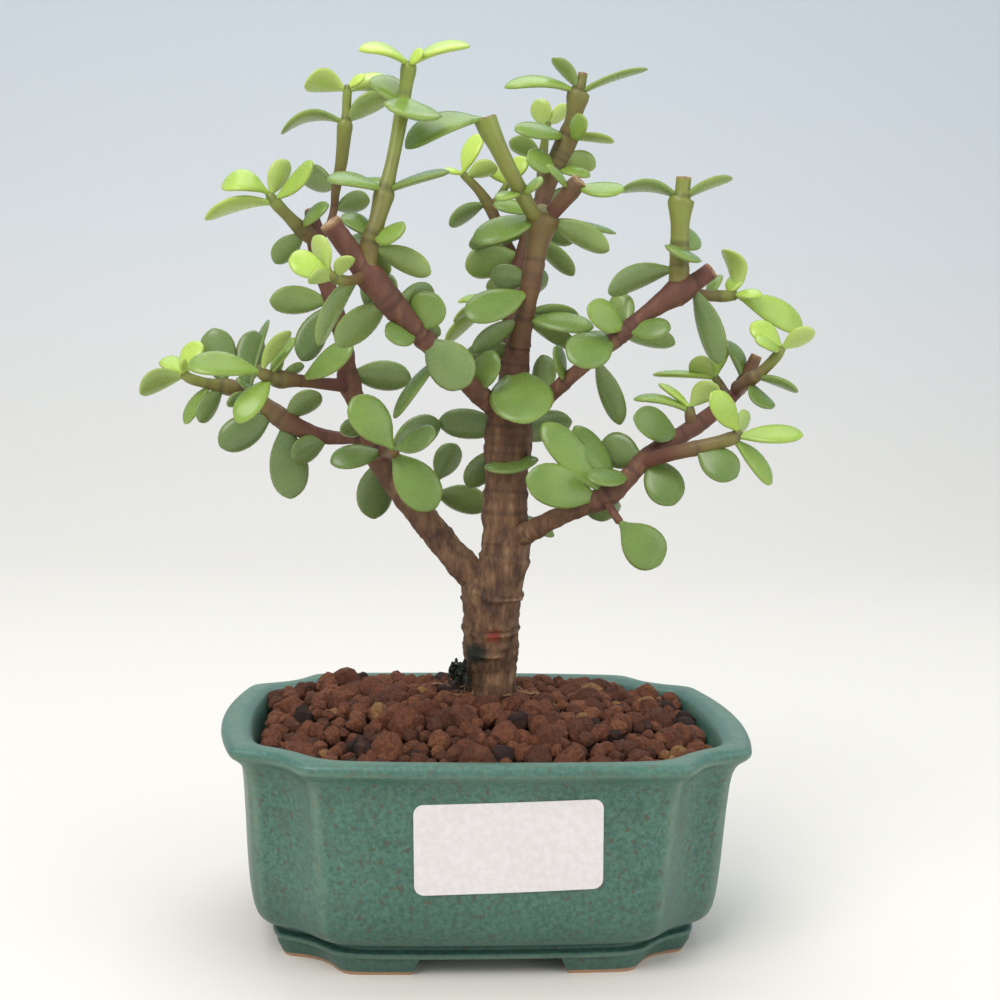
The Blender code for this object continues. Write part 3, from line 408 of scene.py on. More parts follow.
def wall_through(name, rings):
    """A closed ring of vertices, extruded through the given rings and capped at both ends."""
    count = len(rings[0])
    piece = start_piece(name, bpy.ops.mesh.primitive_circle_add, vertices=count, radius=0.05,
                        fill_type="NGON")
    for vert, point in zip(piece.data.vertices, rings[0]):
        vert.co = Vector(point) * MM
    bpy.ops.object.mode_set(mode="EDIT")
    bpy.ops.mesh.select_all(action="SELECT")
    for previous, ring in zip(rings, rings[1:]):
        bpy.ops.mesh.extrude_region_move()
        mesh = bmesh.from_edit_mesh(piece.data)
        moved = [vert for vert in mesh.verts if vert.select]
        places = {tuple(round(c, 3) for c in old): new for old, new in zip(previous, ring)}
        for vert in moved:
            key = tuple(round(c, 3) for c in vert.co / MM)
            near = places.get(key)
            if near is None:
                best = min(range(count), key=lambda k: (Vector(previous[k]) * MM - vert.co).length)
                near = ring[best]
            vert.co = Vector(near) * MM
        bmesh.update_edit_mesh(piece.data)
    bpy.ops.mesh.select_all(action="SELECT")
    bpy.ops.mesh.normals_make_consistent(inside=False)
    bpy.ops.object.mode_set(mode="OBJECT")
    return piece


# %% [markdown]
# The profile runs from the foot's ledge up the outer wall, over the rounded lip and down inside. The lip is
# a soft roll that stands out over a small cove. Points lie closer where the profile turns, because the
# subdivision that comes last rounds whatever lies between them.

# %% The pot's body
OUTER_WALL = [
    (11.2, 4.4), (10.4, 4.5), (9.95, 4.8), (9.9, 5.6), (10.2, 6.0), (11.3, 6.25), (11.4, 6.8), (11.3, 7.4),
    (9.8, 7.8), (8.2, 8.6), (6.9, 9.9), (6.1, 12.0), (5.5, 16.0), (5.1, 22.0), (4.8, 30.0), (4.4, 38.0),
    (4.1, 43.0),
    (3.6, 46.0), (2.9, 47.6), (2.0, 48.7), (1.0, 49.5), (0.35, 50.2), (0.0, 51.1), (0.2, 52.1), (0.9, 52.75),
    (2.0, 53.0), (3.6, 52.9), (4.9, 52.4), (5.7, 51.5), (6.2, 50.0),
]
INNER_WALL = [(6.7, 47.5), (7.6, 40.0), (8.6, 30.0), (10.6, 16.0), (15.0, 12.0)]


def passes_at(inset, height):
    """More rounding for the outline's corners low on the wall and inside the rim."""
    if (inset, height) in INNER_WALL:
        return 12
    if height > 50.5:
        return 1 + round(max(0.0, inset - 1.0) * 2)
    return 1 + round((46.0 - min(height, 46.0)) / 8)


def pot_body():
    rings = []
    for inset, height in OUTER_WALL + INNER_WALL:
        sag = NOTCH_SAG if height > 50.5 or (inset, height) in OUTER_WALL else INNER_NOTCH_SAG
        rows = full_outline(inset, sag, passes_at(inset, height))
        rings.append([(x, y, height) for (x, y), _ in rows])
    body = wall_through("pot_body", rings)
    round_off = body.modifiers.new("round", "SUBSURF")
    round_off.levels = 1
    round_off.render_levels = 1
    finish_modifiers(body)
    ridge = []
    for vert in body.data.vertices:
        x, y, z = vert.co / MM
        inset = min(OUTER_WALL, key=lambda row: abs(row[1] - z))[0]
        near = min(
            (Vector((x, y)) - Vector(p)).length
            for p, mark in full_outline(inset) if mark) if z > 7.5 else 9.0
        on_cusp = 0.6 * max(0.0, 1 - near / 2.0)
        on_lip = max(0.0, 1 - abs(z - 50.4) / 0.6) * 0.5 + max(0.0, 1 - abs(z - 52.9) / 0.25) * 0.5
        on_ledge = 0.4 * max(0.0, 1 - abs(z - 5.0) / 0.8)
        ridge.append(min(1.0, max(on_cusp, on_lip, on_ledge)))
    store(body, "ridge", ridge)
    smooth(body, 50)
    print("pot body faces", len(body.data.polygons))
    hand_over(body, "green_glaze", glaze, "pot")


pot_body()

# %% [markdown]
# The pot stands on four low feet that follow the outline under its corners. They were one ring once: gaps
# cut with slanted ends split it. The cutters are simple wedges, and a small bevel softens the cut clay.

# %% The pot's feet
FOOT_OUTER = (12.4, 10.7)
FOOT_THICKNESS = 7.0
FOOT_TOP = 4.9
FOOT_GAPS = {"long": (16.5, 80.0), "short": (80.0, 11.0)}


def cutter(name, half_x, half_y, slope):
    piece = start_piece(name, bpy.ops.mesh.primitive_cube_add, size=2.0)
    for vert in piece.data.vertices:
        lean = slope if vert.co.z > 0 else -slope
        sx, sy = (half_x - lean, half_y) if half_x < half_y else (half_x, half_y - lean)
        vert.co = Vector((vert.co.x * sx, vert.co.y * sy, 9.0 if vert.co.z > 0 else -1.0)) * MM
    piece.hide_render = True
    return piece


def pot_feet():
    ring = [[(x, y, z) for (x, y), _ in full_outline(inset)] for inset, z in (
        (FOOT_OUTER[0], 0.0), (FOOT_OUTER[0] - 0.5, 1.0), (FOOT_OUTER[1] + 0.2, 3.4),
        (FOOT_OUTER[1], FOOT_TOP))]
    feet = wall_through("pot_feet", ring)
    hollow = wall_through("foot_hollow", [
        [(x, y, z) for (x, y), _ in full_outline(FOOT_OUTER[0] + FOOT_THICKNESS)] for z in (-1.0, 9.0)])
    cutters = [hollow] + [cutter(f"foot_gap_{key}", x, y, 2.2) for key, (x, y) in FOOT_GAPS.items()]
    for tool in cutters:
        trim = feet.modifiers.new("trim", "BOOLEAN")
        trim.operation = "DIFFERENCE"
        trim.object = tool
        trim.solver = "EXACT"
    soften = feet.modifiers.new("soften", "BEVEL")
    soften.width = 0.45 * MM
    soften.segments = 2
    soften.limit_method = "ANGLE"
    soften.angle_limit = math.radians(50)
    finish_modifiers(feet)
    for tool in cutters:
        bpy.data.objects.remove(tool)
    store(feet, "ridge", [0.0] * len(feet.data.vertices))
    smooth(feet, 35)
    print("foot faces", len(feet.data.polygons))
    hand_over(feet, "green_glaze", glaze, "pot")


pot_feet()

# %% [markdown]
# A plain paper label is stuck on the front wall, a little turned. It bears no words. It is a thin sheet,
# so a plane with rounded corners, extruded by a hair, is all it needs, laid against the leaning wall.

# %% The label
LABEL_SIZE = (42.6, 21.1)
LABEL_CENTRE = (2.8, 33.1)
LABEL_TURN = math.radians(1.9)
LABEL_CORNER = 2.2
LABEL_THICKNESS = 0.22


def front_wall(z):
    for (in0, z0), (in1, z1) in zip(OUTER_WALL, OUTER_WALL[1:]):
        if z0 <= z <= z1:
            return RIM_HALF_DEPTH - (in0 + (in1 - in0) * (z - z0) / (z1 - z0))
    return RIM_HALF_DEPTH


def front_face(x, z):
    reach = front_wall(z)
    half = FRONT_LOBE - (RIM_HALF_DEPTH - reach) * LOBE_SHARE
    return -(reach + front_bulge_at(RIM_HALF_DEPTH - reach) * (1 - (x / half) ** 2))


def paper_material():
    tree = Tree("label_paper", 0.42, IOR=1.45)
    fibre = tree.noise(700, 4)
    tree.color(tree.ramp(fibre, (0.35, (0.66, 0.61, 0.60)), (0.65, (0.72, 0.68, 0.67))))
    tree.bump(fibre, 0.00003, 0.4)
    return tree.material


def make_label():
    label = start_piece("label_sheet", bpy.ops.mesh.primitive_plane_add, size=2.0)
    for vert in label.data.vertices:
        vert.co = Vector((vert.co.x * LABEL_SIZE[0] / 2, vert.co.y * LABEL_SIZE[1] / 2, 0.0)) * MM
    bpy.ops.object.mode_set(mode="EDIT")
    bpy.ops.mesh.select_all(action="SELECT")
    bpy.ops.mesh.bevel(offset=LABEL_CORNER * MM, segments=6, affect="VERTICES")
    for step in range(-9, 10):
        bpy.ops.mesh.select_all(action="SELECT")
        bpy.ops.mesh.bisect(plane_co=(step * LABEL_SIZE[0] / 20 * MM, 0, 0), plane_no=(1, 0, 0))
    bpy.ops.mesh.select_all(action="SELECT")
    bpy.ops.mesh.extrude_region_move(TRANSFORM_OT_translate={"value": (0, 0, LABEL_THICKNESS * MM)})
    bpy.ops.object.mode_set(mode="OBJECT")
    for vert in label.data.vertices:
        flat_x, flat_z, out = vert.co / MM
        x = flat_x * math.cos(LABEL_TURN) - flat_z * math.sin(LABEL_TURN) + LABEL_CENTRE[0]
        z = flat_x * math.sin(LABEL_TURN) + flat_z * math.cos(LABEL_TURN) + LABEL_CENTRE[1]
        vert.co = Vector((x, front_face(x, z) - 0.06 - out, z)) * MM
    face_out(label)
    smooth(label, 30)
    hand_over(label, "label_paper", paper_material(), "label")


make_label()

# %% [markdown]
# The soil's cover is hundreds of fired clay granules, 3 to 9 mm across, rough and dark reddish brown, with
# a few ochre and black ones. Three are modelled, each a ball whose vertices are pushed about. Each
# is copied by a rule that scatters them over a low mound. A mound under them closes the gaps, coloured
# near-black as painted shade.

# %% The granules' finish
BED_EDGE_LEVEL = 48.6
BED_CROWN = 7.6


def granule_material():
    tree = Tree("granules", 0.92, IOR=1.4)
    tone = tree.attribute("tone")
    grit = tree.noise(1300, 5, 0.7)
    patch = tree.noise(300, 3)
    # The lowest tones colour the few black granules, and the soil mound, whose near-black is painted shade.
    base = tree.ramp(
        tone, (0.0, (0.020, 0.012, 0.009)), (0.12, (0.040, 0.016, 0.010)), (0.5, (0.150, 0.048, 0.022)),
        (0.85, (0.210, 0.074, 0.032)), (1.0, (0.30, 0.150, 0.055)))
    color = tree.mix(tree.ramp(grit, (0.35, 0.75), (0.6, 0.0)), base, (0.028, 0.012, 0.008))
    color = tree.mix(tree.ramp(patch, (0.55, 0.0), (0.75, 0.35)), color, (0.21, 0.085, 0.045))
    tree.color(color)
    tree.bump(grit, 0.0005, 0.8)
    return tree.material


clay = granule_material()

# %% Three granules and their copies
GRANULE_SEED = 5
GRANULE_COUNT = 900
GRANULE_SIZES = (3.8, 5.0, 5.8, 6.4, 7.0, 7.6, 8.4)
MOST_TRIES = 60000
TRUNK_FOOT = (1.5, 5.0)


def model_granule(index, rng):
    piece = start_piece(f"granule_{index}", bpy.ops.mesh.primitive_ico_sphere_add, subdivisions=2,
                        radius=0.5)
    bpy.ops.object.mode_set(mode="EDIT")
    bpy.ops.mesh.select_all(action="SELECT")
    bpy.ops.transform.vertex_random(offset=0.10, seed=rng.randrange(1000))
    bpy.ops.object.mode_set(mode="OBJECT")
    return piece


def bed_height(x, y):
    away = math.hypot(x / 52.0, y / 38.0)
    heap = 3.2 * max(0.0, y / 38.0) + 1.0 * max(0.0, -x / 52.0)
    return BED_EDGE_LEVEL + BED_CROWN * max(0.0, 1 - away * away) + heap


def inside_bed(x, y, margin):
    """Whether a point is at least this far inside the pot's inner wall."""
    inset = 7.0 + margin
    length, depth = RIM_HALF_LENGTH - inset, RIM_HALF_DEPTH - inset
    side, front = SIDE_LOBE - inset * LOBE_SHARE, FRONT_LOBE - inset * LOBE_SHARE
    if abs(x) > length + 1.0 or abs(y) > depth + 1.0:
        return False
    return (abs(x) - front) / (length - front) + (abs(y) - side) / (depth - side) < 0.97


def scatter_granules():
    rng = random.Random(GRANULE_SEED)
    models = [model_granule(k, rng) for k in range(3)]
    mesh = bmesh.new()
    tone = mesh.verts.layers.float.new("tone")
    placed = []
    tries = 0
    while len(placed) < GRANULE_COUNT and tries < MOST_TRIES:
        tries += 1
        x, y = rng.uniform(-56, 56), rng.uniform(-42, 42)
        size = rng.choice(GRANULE_SIZES)
        from_trunk = math.hypot(x - TRUNK_FOOT[0], y - TRUNK_FOOT[1])
        if not inside_bed(x, y, size * 0.25) or from_trunk < 6.0 + size * 0.3:
            continue
        gaps = [math.hypot(px - x, py - y) / (size + ps) for px, py, ps in placed]
        crowd = sum(1 for gap in gaps if gap < 0.42)
        if crowd > 2 or (gaps and min(gaps) < 0.26):
            continue
        lift = -0.4 if crowd else -2.8
        placed.append((x, y, size))
        turn = Matrix.Rotation(rng.uniform(0, 6.28), 4, "Z") @ Matrix.Rotation(rng.uniform(0, 3.14), 4, "X")
        stretch = Matrix.Diagonal([size * MM * rng.uniform(0.72, 1.1) for _ in range(3)] + [1.0])
        copy = rng.choice(models).data.copy()
        middle = Vector((x, y, bed_height(x, y) + lift + rng.uniform(-0.5, 0.7)))
        copy.transform(Matrix.Translation(middle * MM) @ turn @ stretch)
        before = len(mesh.verts)
        mesh.from_mesh(copy)
        bpy.data.meshes.remove(copy)
        mesh.verts.ensure_lookup_table()
        kind = rng.random()
        value = 0.04 if kind < 0.06 else 1.0 if kind > 0.97 else rng.uniform(0.25, 0.85)
        for k in range(before, len(mesh.verts)):
            mesh.verts[k][tone] = value
    for model in models:
        bpy.data.objects.remove(model)
    data = bpy.data.meshes.new("granules")
    mesh.to_mesh(data)
    mesh.free()
    piece = bpy.data.objects.new("granules", data)
    bpy.context.scene.collection.objects.link(piece)
    smooth(piece, 20)
    print("granules", len(placed), "faces", len(data.polygons))
    hand_over(piece, "granules", clay, "granule_bed")


scatter_granules()

# %% The soil under the granules, coloured near-black as painted shade


def soil_mound():
    rings = [[(x, y, z) for (x, y), _ in full_outline(inset, INNER_NOTCH_SAG)] for inset, z in (
        (7.4, 42.0), (7.2, BED_EDGE_LEVEL - 2.0))]
    for share in (0.8, 0.6, 0.4, 0.2):
        edge = rings[1]
        rings.append([(x * share, y * share, bed_height(x * share, y * share) - 3.2) for x, y, _ in edge])
    mound = wall_through("soil", rings)
    # Tone 0.02 colours the mound near-black: painted shade for the gaps between the granules.
    store(mound, "tone", [0.02] * len(mound.data.vertices))
    smooth(mound, 40)
    hand_over(mound, "granules", clay, "granule_bed")


soil_mound()

# %% [markdown]
# The trunk and limbs are brown, ringed bark low down, wine-coloured higher up, and olive green where
# young. One material does them all: a stored number, tone, runs from 0 for old bark to 1 for green wood, and
# another, cut, marks the dry tan face where a limb was sawn off. Ring scars are dark lines in a third.

# %% The bark's finish


def bark_material():
    tree = Tree("bark", 0.62, IOR=1.45)
    tone = tree.attribute("tone")
    streak = tree.noise(420, 6, 0.65, stretch=(1.0, 1.0, 0.28))
    flake = tree.cells(330, "F1", stretch=(1.0, 1.0, 0.55))
    patch = tree.noise(120, 4, 0.6)
    wander = tree.math("ADD", tone, tree.span(patch, 0.3, 0.7, -0.07, 0.07))
    base = tree.ramp(
        wander, (0.0, (0.195, 0.105, 0.050)), (0.22, (0.165, 0.082, 0.042)), (0.45, (0.125, 0.042, 0.028)),
        (0.62, (0.150, 0.085, 0.032)), (0.8, (0.190, 0.200, 0.040)), (1.0, (0.250, 0.330, 0.055)))
    old = tree.span(tone, 0.12, 0.5, 1.0, 0.06)
    dark = tree.math("MULTIPLY", old, tree.ramp(streak, (0.38, 0.8), (0.54, 0.0)))
    color = tree.mix(dark, base, (0.040, 0.018, 0.013))
    pale = tree.math("MULTIPLY", old, tree.ramp(streak, (0.55, 0.0), (0.70, 0.7)))
    color = tree.mix(pale, color, (0.360, 0.225, 0.120))
    mottle = tree.math("MULTIPLY", old, tree.ramp(flake, (0.0, 0.5), (0.25, 0.0)))
    color = tree.mix(mottle, color, (0.060, 0.026, 0.019))
    color = tree.mix(tree.attribute("red"), color, (0.230, 0.032, 0.022))
    color = tree.mix(tree.attribute("moss"), color, (0.014, 0.018, 0.010))
    scar = tree.attribute("scar")
    color = tree.mix(tree.math("MULTIPLY", scar, 0.45), color, (0.022, 0.011, 0.009))
    sawn = tree.attribute("sawn")
    wood = tree.ramp(tree.noise(700, 5), (0.35, (0.21, 0.10, 0.05)), (0.65, (0.50, 0.33, 0.17)))
    color = tree.mix(sawn, color, wood)
    tree.color(color)
    tree.roughness(tree.span(tone, 0.2, 0.9, 0.78, 0.36))
    tree.bump(tree.math("MULTIPLY", old, streak), 0.0009, 0.8)
    tree.bump(tree.math("MULTIPLY", old, flake), 0.0006, 0.5)
    return tree.material


bark = bark_material()

# %% [markdown]
# The leaves are fleshy, waxy and smooth. Old ones are a deep green with fine paler dots, young ones at the
# growing tips a bright yellow green, and the undersides are duller. Light passes a little into them, which
# a small subsurface share gives. Three stored numbers tell the material the age, the side and the rim.

# %% The leaves' finish


def leaf_material():
    tree = Tree("leaves", 0.30, IOR=1.42, Subsurface_Weight=0.12, Subsurface_Scale=0.002, Coat_Weight=0.12,
                Coat_Roughness=0.25)
    age = tree.attribute("age")
    dots = tree.noise(1500, 2, 0.6)
    cloud = tree.noise(140, 3)
    wander = tree.math("ADD", age, tree.span(cloud, 0.3, 0.7, -0.08, 0.08))
    upper = tree.ramp(
        wander, (0.0, (0.105, 0.165, 0.045)), (0.3, (0.165, 0.255, 0.055)), (0.6, (0.250, 0.375, 0.062)),
        (0.85, (0.390, 0.550, 0.085)), (1.0, (0.500, 0.670, 0.110)))
    under = tree.ramp(
        wander, (0.0, (0.120, 0.180, 0.065)), (0.4, (0.200, 0.285, 0.085)), (1.0, (0.430, 0.560, 0.140)))
    color = tree.mix(tree.attribute("under"), upper, under)
    color = tree.mix(tree.ramp(dots, (0.54, 0.0), (0.64, 0.06)), color, (0.260, 0.360, 0.120))
    rim = tree.attribute("rim")
    color = tree.mix(tree.math("MULTIPLY", rim, 0.35), color, (0.300, 0.360, 0.090))
    tree.color(color)
    tree.roughness(tree.span(dots, 0.3, 0.7, 0.25, 0.30))
    tree.bump(dots, 0.00003, 0.1)
    return tree.material


leaf_green = leaf_material()

# %% [markdown]
# The tree's plan is one table, read from the camera. Each stem has the stem that it grows from, its
# route as (across, up, depth, radius) in millimetres, and its leaves. Across and up are read in the upright
# plane through the pot's middle, and depth is how far behind it the point really is.

# %% The plan of the tree
DEPTH_SPREAD = 1.7
STEMS = {
    "trunk": (None, [
        (1.5, 44, 4, 5.0), (1.4, 56, 4, 5.6), (1.3, 66, 3, 6.2), (1.2, 74, 2, 6.5), (1.3, 84, 1, 7.2),
        (3.6, 90, 0, 5.9), (4.3, 96, 0, 5.5), (3.9, 101, 0, 5.1), (3.9, 110, 0, 5.0), (4.2, 120, 0, 5.2),
        (4.4, 128, 0, 5.0), (5.0, 134, 0, 3.9), (5.6, 141, 0, 3.1), (6.2, 146.5, -1, 2.6)], [
        (8, 102.5, 16.4, 97.8, -1, 5.5, 35, 0.05), (13, 102.5, 8.6, 108.8, 5, 6, 40, 0.05),
        (5, 118, 6, 113.5, -9, 13.5, 75, 0.0), (0, 120, -5.5, 109.6, 7, 8, -60, 0.05),
        (-1, 125, -13.2, 125.4, 7, 8, -72, 0.05), (8, 123, 20, 126.4, 6, 8, -70, 0.08),
        (7, 140, 8.6, 125.6, -15, 15.6, 84, 0.03), (4, 145, -6.8, 141.6, 6, 6, -60, 0.05)]),
    "left_low": ("trunk", [
        (1.0, 83, 1, 3.6), (-4.5, 88.5, 1, 3.8), (-9.5, 94, 2, 3.5), (-15, 100.5, 3, 3.4),
        (-21.5, 108, 4, 3.0),
        (-27.5, 116.5, 5, 2.9), (-30.5, 124, 6, 2.4), (-33.5, 131, 6, 2.4), (-34.9, 134.5, 6, 3.0),
        (-35.5, 138, 5, 2.2), (-36.2, 144, 4, 2.0), (-38.2, 151, 3, 2.0), (-40.2, 157, 3, 2.0),
        (-42.2, 164, 3, 2.0), (-43.6, 169.5, 3, 2.2), (-44.6, 175.6, 4, 1.6)], [
        (-41.5, 153.5, -54.3, 153.8, -2, 7.5, -70, 0.05), (-41.5, 152.5, -46.6, 139.7, -4, 7.8, -70, 0.05),
        (-33.5, 136.8, -19.8, 135.8, 5, 8, -75, 0.05), (-28.5, 115, -28.4, 101.4, 7, 9.5, -80, 0.04),
        (-31, 122.5, -36.7, 124.2, -5, 5.5, -70, 0.05)]),
    "left_nub": ("left_low", [
        (-27.5, 116.5, 5, 1.6), (-25.6, 118.2, 0, 1.7), (-24.3, 118.2, -5, 1.7),
        (-23.8, 118.6, -7.5, 1.2)], [
        (-24.6, 120.5, -34.0, 131.2, -1, 9.5, 75, 0.03), (-24.5, 119.5, -13.6, 123.0, -6, 7.5, 45, -0.04),
        (-24.2, 117.5, -13.4, 104.0, -2, 10.5, 82, 0.03), (-26.5, 118, -39.2, 115.0, -4, 7, 58, 0.05),
        (-25.2, 119.5, -12.4, 125.4, 8, 8.5, -70, 0.05)]),
    "left_back_twig": ("left_low", [
        (-16, 101.5, 3, 1.6), (-15, 105, 8, 1.3), (-13.8, 109, 11, 1.1), (-13.2, 111.2, 12, 0.9)], [
        (-13.2, 111, -8.4, 120.3, 1, 7.5, -70, 0.05), (-13.8, 108.5, -0.4, 104.6, 2, 8.5, -62, 0.06)]),
    "left_mid": ("left_low", [
        (-35.2, 134, 6, 1.8), (-40, 134.2, 2, 1.5), (-46.5, 134.8, -1, 1.4), (-51.5, 135.1, -3, 2.0),
        (-53.5, 135.4, -4, 1.5), (-55.8, 136.4, -5, 1.3), (-56.6, 138, -5, 0.8)], [
        (-46.6, 134.8, -34.1, 144.2, -4, 7.5, 52, -0.03), (-56, 136.5, -73.8, 137.6, -5, 8, 46, 0.09),
        (-55.8, 136.8, -49.3, 146.8, -4, 5.5, -38, 0.06), (-54.2, 136.2, -48.2, 145.2, 3, 4.5, 40, 0.05),
        (-52, 135.8, -51.6, 141.6, 5, 4, 50, 0.04), (-51.8, 135.6, -45.8, 138.4, 6, 4, -40, 0.05),
        (-53.5, 134.6, -61.6, 124.3, -6, 7, 60, 0.06)]),
    "left_reach": ("left_low", [
        (-29.2, 120.8, 6, 1.6), (-33, 121.2, 7, 1.5), (-39.5, 121.3, 8, 1.7), (-45, 122.6, 8, 2.2),
        (-50.5, 125.3, 8, 2.4), (-55, 128.6, 8, 2.0), (-60, 132.1, 8, 1.7), (-64, 132.9, 8, 1.9),
        (-68, 133.5, 7, 1.3), (-72.6, 134.6, 6, 1.2), (-74.6, 135.8, 6, 1.0)], [
        (-39.5, 120.8, -48.5, 115.9, -5, 7, -70, 0.05), (-51.2, 124.5, -41.8, 131.9, -3, 7, -60, 0.05),
        (-58, 131, -64.2, 129.2, -6, 4.8, -50, 0.05), (-57, 131, -62.0, 135.0, -4, 4, 20, 0.05),
        (-60, 132.4, -57.6, 146.7, 5, 7.8, -75, 0.03), (-58.6, 131.5, -54.4, 149.4, 10, 5, 25, 0.04),
        (-65, 133.2, -67.6, 147.0, 3, 9.2, -80, 0.03), (-65, 132.8, -70.9, 124.4, -5, 6, -60, 0.05),
        (-68.6, 133, -74.3, 123.8, 2, 5, 42, 0.04), (-74, 135.4, -85.0, 131.0, -3, 7.5, -48, 0.16),
        (-74.2, 135.8, -71.0, 143.8, 3, 6.5, 52, 0.04), (-74.4, 135.8, -79.4, 139.4, 4, 6, 52, 0.05),
        (-74, 135.6, -75.0, 139.4, -3, 3, 40, 0.02), (-53.4, 126.6, -66.0, 118.6, -2, 8.6, -84, 0.03),
        (-51.6, 124.6, -48.6, 106.0, -2, 10, -80, 0.03)]),
    "left_fan": ("left_low", [
        (-43.2, 168.5, 3, 1.7), (-47, 171.2, 1, 1.7), (-50, 174, 0, 1.4), (-53, 177, -1, 1.3),
        (-54.6, 179, -1, 0.9)], [
        (-53.6, 177, -69.8, 172.6, -2, 8, -24, 0.11), (-54.6, 178.8, -66.0, 180.4, -1, 8, 40, 0.24),
        (-54.4, 178.6, -50.2, 187.2, 1, 6.6, -50, 0.05), (-53.8, 177.8, -44.4, 187.2, -4, 5.8, 40, -0.08),
        (-46.6, 171.5, -40.4, 177.2, -5, 5, 36, 0.05), (-46, 170.6, -53.2, 162.8, 2, 6.5, -60, 0.05)]),
    "left_whip": ("left_low", [
        (-43.4, 168.4, 3, 1.2), (-40.6, 171.6, 6, 1.0), (-39.2, 176, 7, 0.9), (-38.8, 181, 6, 1.1),
        (-37.6, 187, 5, 1.5), (-36.9, 195.4, 4, 1.7), (-36.6, 197.6, 4, 1.1), (-36.5, 202, 4, 1.0),
        (-36.3, 205, 4, 0.9)], [
        (-37.4, 196.3, -52.0, 193.3, -2, 8, -18, 0.2), (-36, 196.4, -26.6, 202.8, 0, 8, -40, 0.12),
        (-36.6, 203.6, -46.6, 204.8, -2, 8, -48, 0.24), (-36.2, 204.6, -32.4, 207.8, -1, 3.4, 35, 0.02),
        (-36, 204.2, -26.4, 207.2, 4, 6, 26, 0.08), (-36, 203.4, -25.6, 202.6, -3, 5.5, -28, 0.2),
        (-38.8, 181, -47.6, 183.8, 5, 7.5, -58, 0.1), (-39, 176, -30.6, 178.4, 3, 6.8, -52, 0.08)]),
    "left_upper": ("trunk", [
        (3.5, 128, 0, 2.4), (-2, 131.6, -3, 2.4), (-8, 137, -7, 2.2), (-14, 143, -10, 2.2),
        (-18.5, 147.2, -12, 2.3),
        (-24.4, 153.4, -14, 2.7), (-29.5, 159.4, -15, 3.1), (-32, 162, -15, 2.4), (-36, 167.4, -16, 2.4),
        (-40.2, 173, -17, 2.4)], [
        (-17.8, 146.4, -5.6, 134.8, -3, 10.8, -84, 0.03), (-18.6, 146.2, -26.2, 146.2, -7, 7, 60, 0.0),
        (-18.2, 147, -14.4, 156.8, -3, 9, 76, 0.02), (-24, 153.6, -14.7, 157.1, 6, 6.8, -50, 0.08),
        (-24.8, 154.4, -27.8, 160.6, 8, 6, -60, 0.05), (-18, 146.6, -13.0, 146.9, 6, 4.6, -60, 0.05),
        (-3.4, 132.6, 0.4, 143.2, -3, 7.4, 60, 0.04), (-12.5, 141.6, -24.0, 126.3, 6, 7, 24, 0.03),
        (-26, 154, -37.8, 143.2, 9, 8, -66, 0.05), (-32, 160, -29.4, 151.8, 8, 6.4, -60, 0.05),
        (-33, 160.5, -42.6, 143.4, -5, 8, -32, 0.06)]),
    "left_tuft": ("left_upper", [
        (-31.6, 160.4, -15, 1.3), (-35, 159.2, -19, 1.1), (-38.4, 159.6, -21, 1.1),
        (-40.4, 161, -22, 0.8)], [
        (-40.2, 161.2, -49.9, 163.4, -3, 7.6, 50, 0.06), (-40.4, 161.4, -43.8, 169.6, 2, 6.6, -38, 0.05),
        (-38.6, 159.8, -34.9, 165.0, -4, 4.6, -50, 0.1), (-38.6, 159.4, -44.8, 159.6, -6, 4.8, -52, 0.08)]),
    "tall_shoot": ("left_upper", [
        (-30.4, 160, -15, 2.0), (-30.9, 164, -15, 1.9), (-30.4, 168.6, -15, 2.0), (-29, 173, -15, 1.8),
        (-27.3, 179.8, -14, 2.1), (-26.6, 182.4, -14, 1.6), (-25, 190, -13, 1.5), (-23.4, 199.4, -12, 1.6),
        (-22.8, 203, -12, 1.3), (-22, 209.6, -12, 1.6), (-21.8, 211, -12, 1.2)], [
        (-22, 210, -34.0, 213.6, -3, 8, 14, 0.14), (-21.8, 210, -7.4, 215.6, -2, 8, 14, 0.1),
        (-21.9, 210.6, -18.6, 213.8, -5, 3.6, 40, 0.04), (-23, 203.4, -19.5, 198, -9, 14, 45, -0.05),
        (-23.6, 200.8, -29.6, 207.6, 7, 8, 50, 0.06), (-27.2, 180.4, -11.6, 185.9, -3, 8, 8, 0.03),
        (-27.4, 180.4, -41.0, 183.0, -3, 8, 20, 0.08), (-27.2, 180.4, -30.6, 183.4, 9, 6.5, 40, 0.05),
        (-30, 169.8, -22.2, 171.7, -7, 7, 38, -0.06), (-30.2, 169.6, -36.9, 174.9, 4, 6.5, 40, 0.05),
        (-30.6, 163, -15.6, 161.4, -2, 6.6, -60, 0.05), (-31, 163.4, -36.2, 168.6, 9, 6.5, 42, 0.05),
        (-30.4, 162.4, -26.6, 160.4, 7, 5, -50, 0.05)]),
    "leader": ("trunk", [
        (6.2, 145, -1, 2.3), (6.9, 149.5, -2, 2.3), (8.6, 156.2, -4, 1.7), (8.7, 158.4, -4, 2.2),
        (9.4, 164, -4, 2.3), (10.2, 170, -4, 2.8), (11.1, 175.4, -4, 3.7), (11.6, 178.2, -4, 1.8)], [
        (8.2, 158, -7.1, 151.0, -7, 9, 60, 0.03), (6.6, 148.6, -5.3, 142.8, -3, 6.6, -50, 0.05),
        (8.4, 160.6, -1.3, 160.8, 3, 7, -70, 0.04), (9, 160, 12.9, 161.6, 5, 5.6, -70, 0.04),
        (8, 152.6, 21.0, 151.2, 5, 6.4, -42, 0.08), (7.4, 149.2, 24.6, 149.5, -4, 7.4, 40, 0.03),
        (7.2, 148.6, 20.6, 144.0, 4, 5.6, -50, 0.05), (10.6, 175, -5.6, 169.4, -4, 7.6, 50, 0.05),
        (11.4, 175.2, 27.8, 168.3, -4, 6.8, -60, 0.06)]),
    "long_cut_shoot": ("leader", [
        (11.0, 175.2, -4, 1.6), (8.6, 177, -6, 1.7), (6, 181.2, -7, 1.7), (3, 186.4, -8, 1.9),
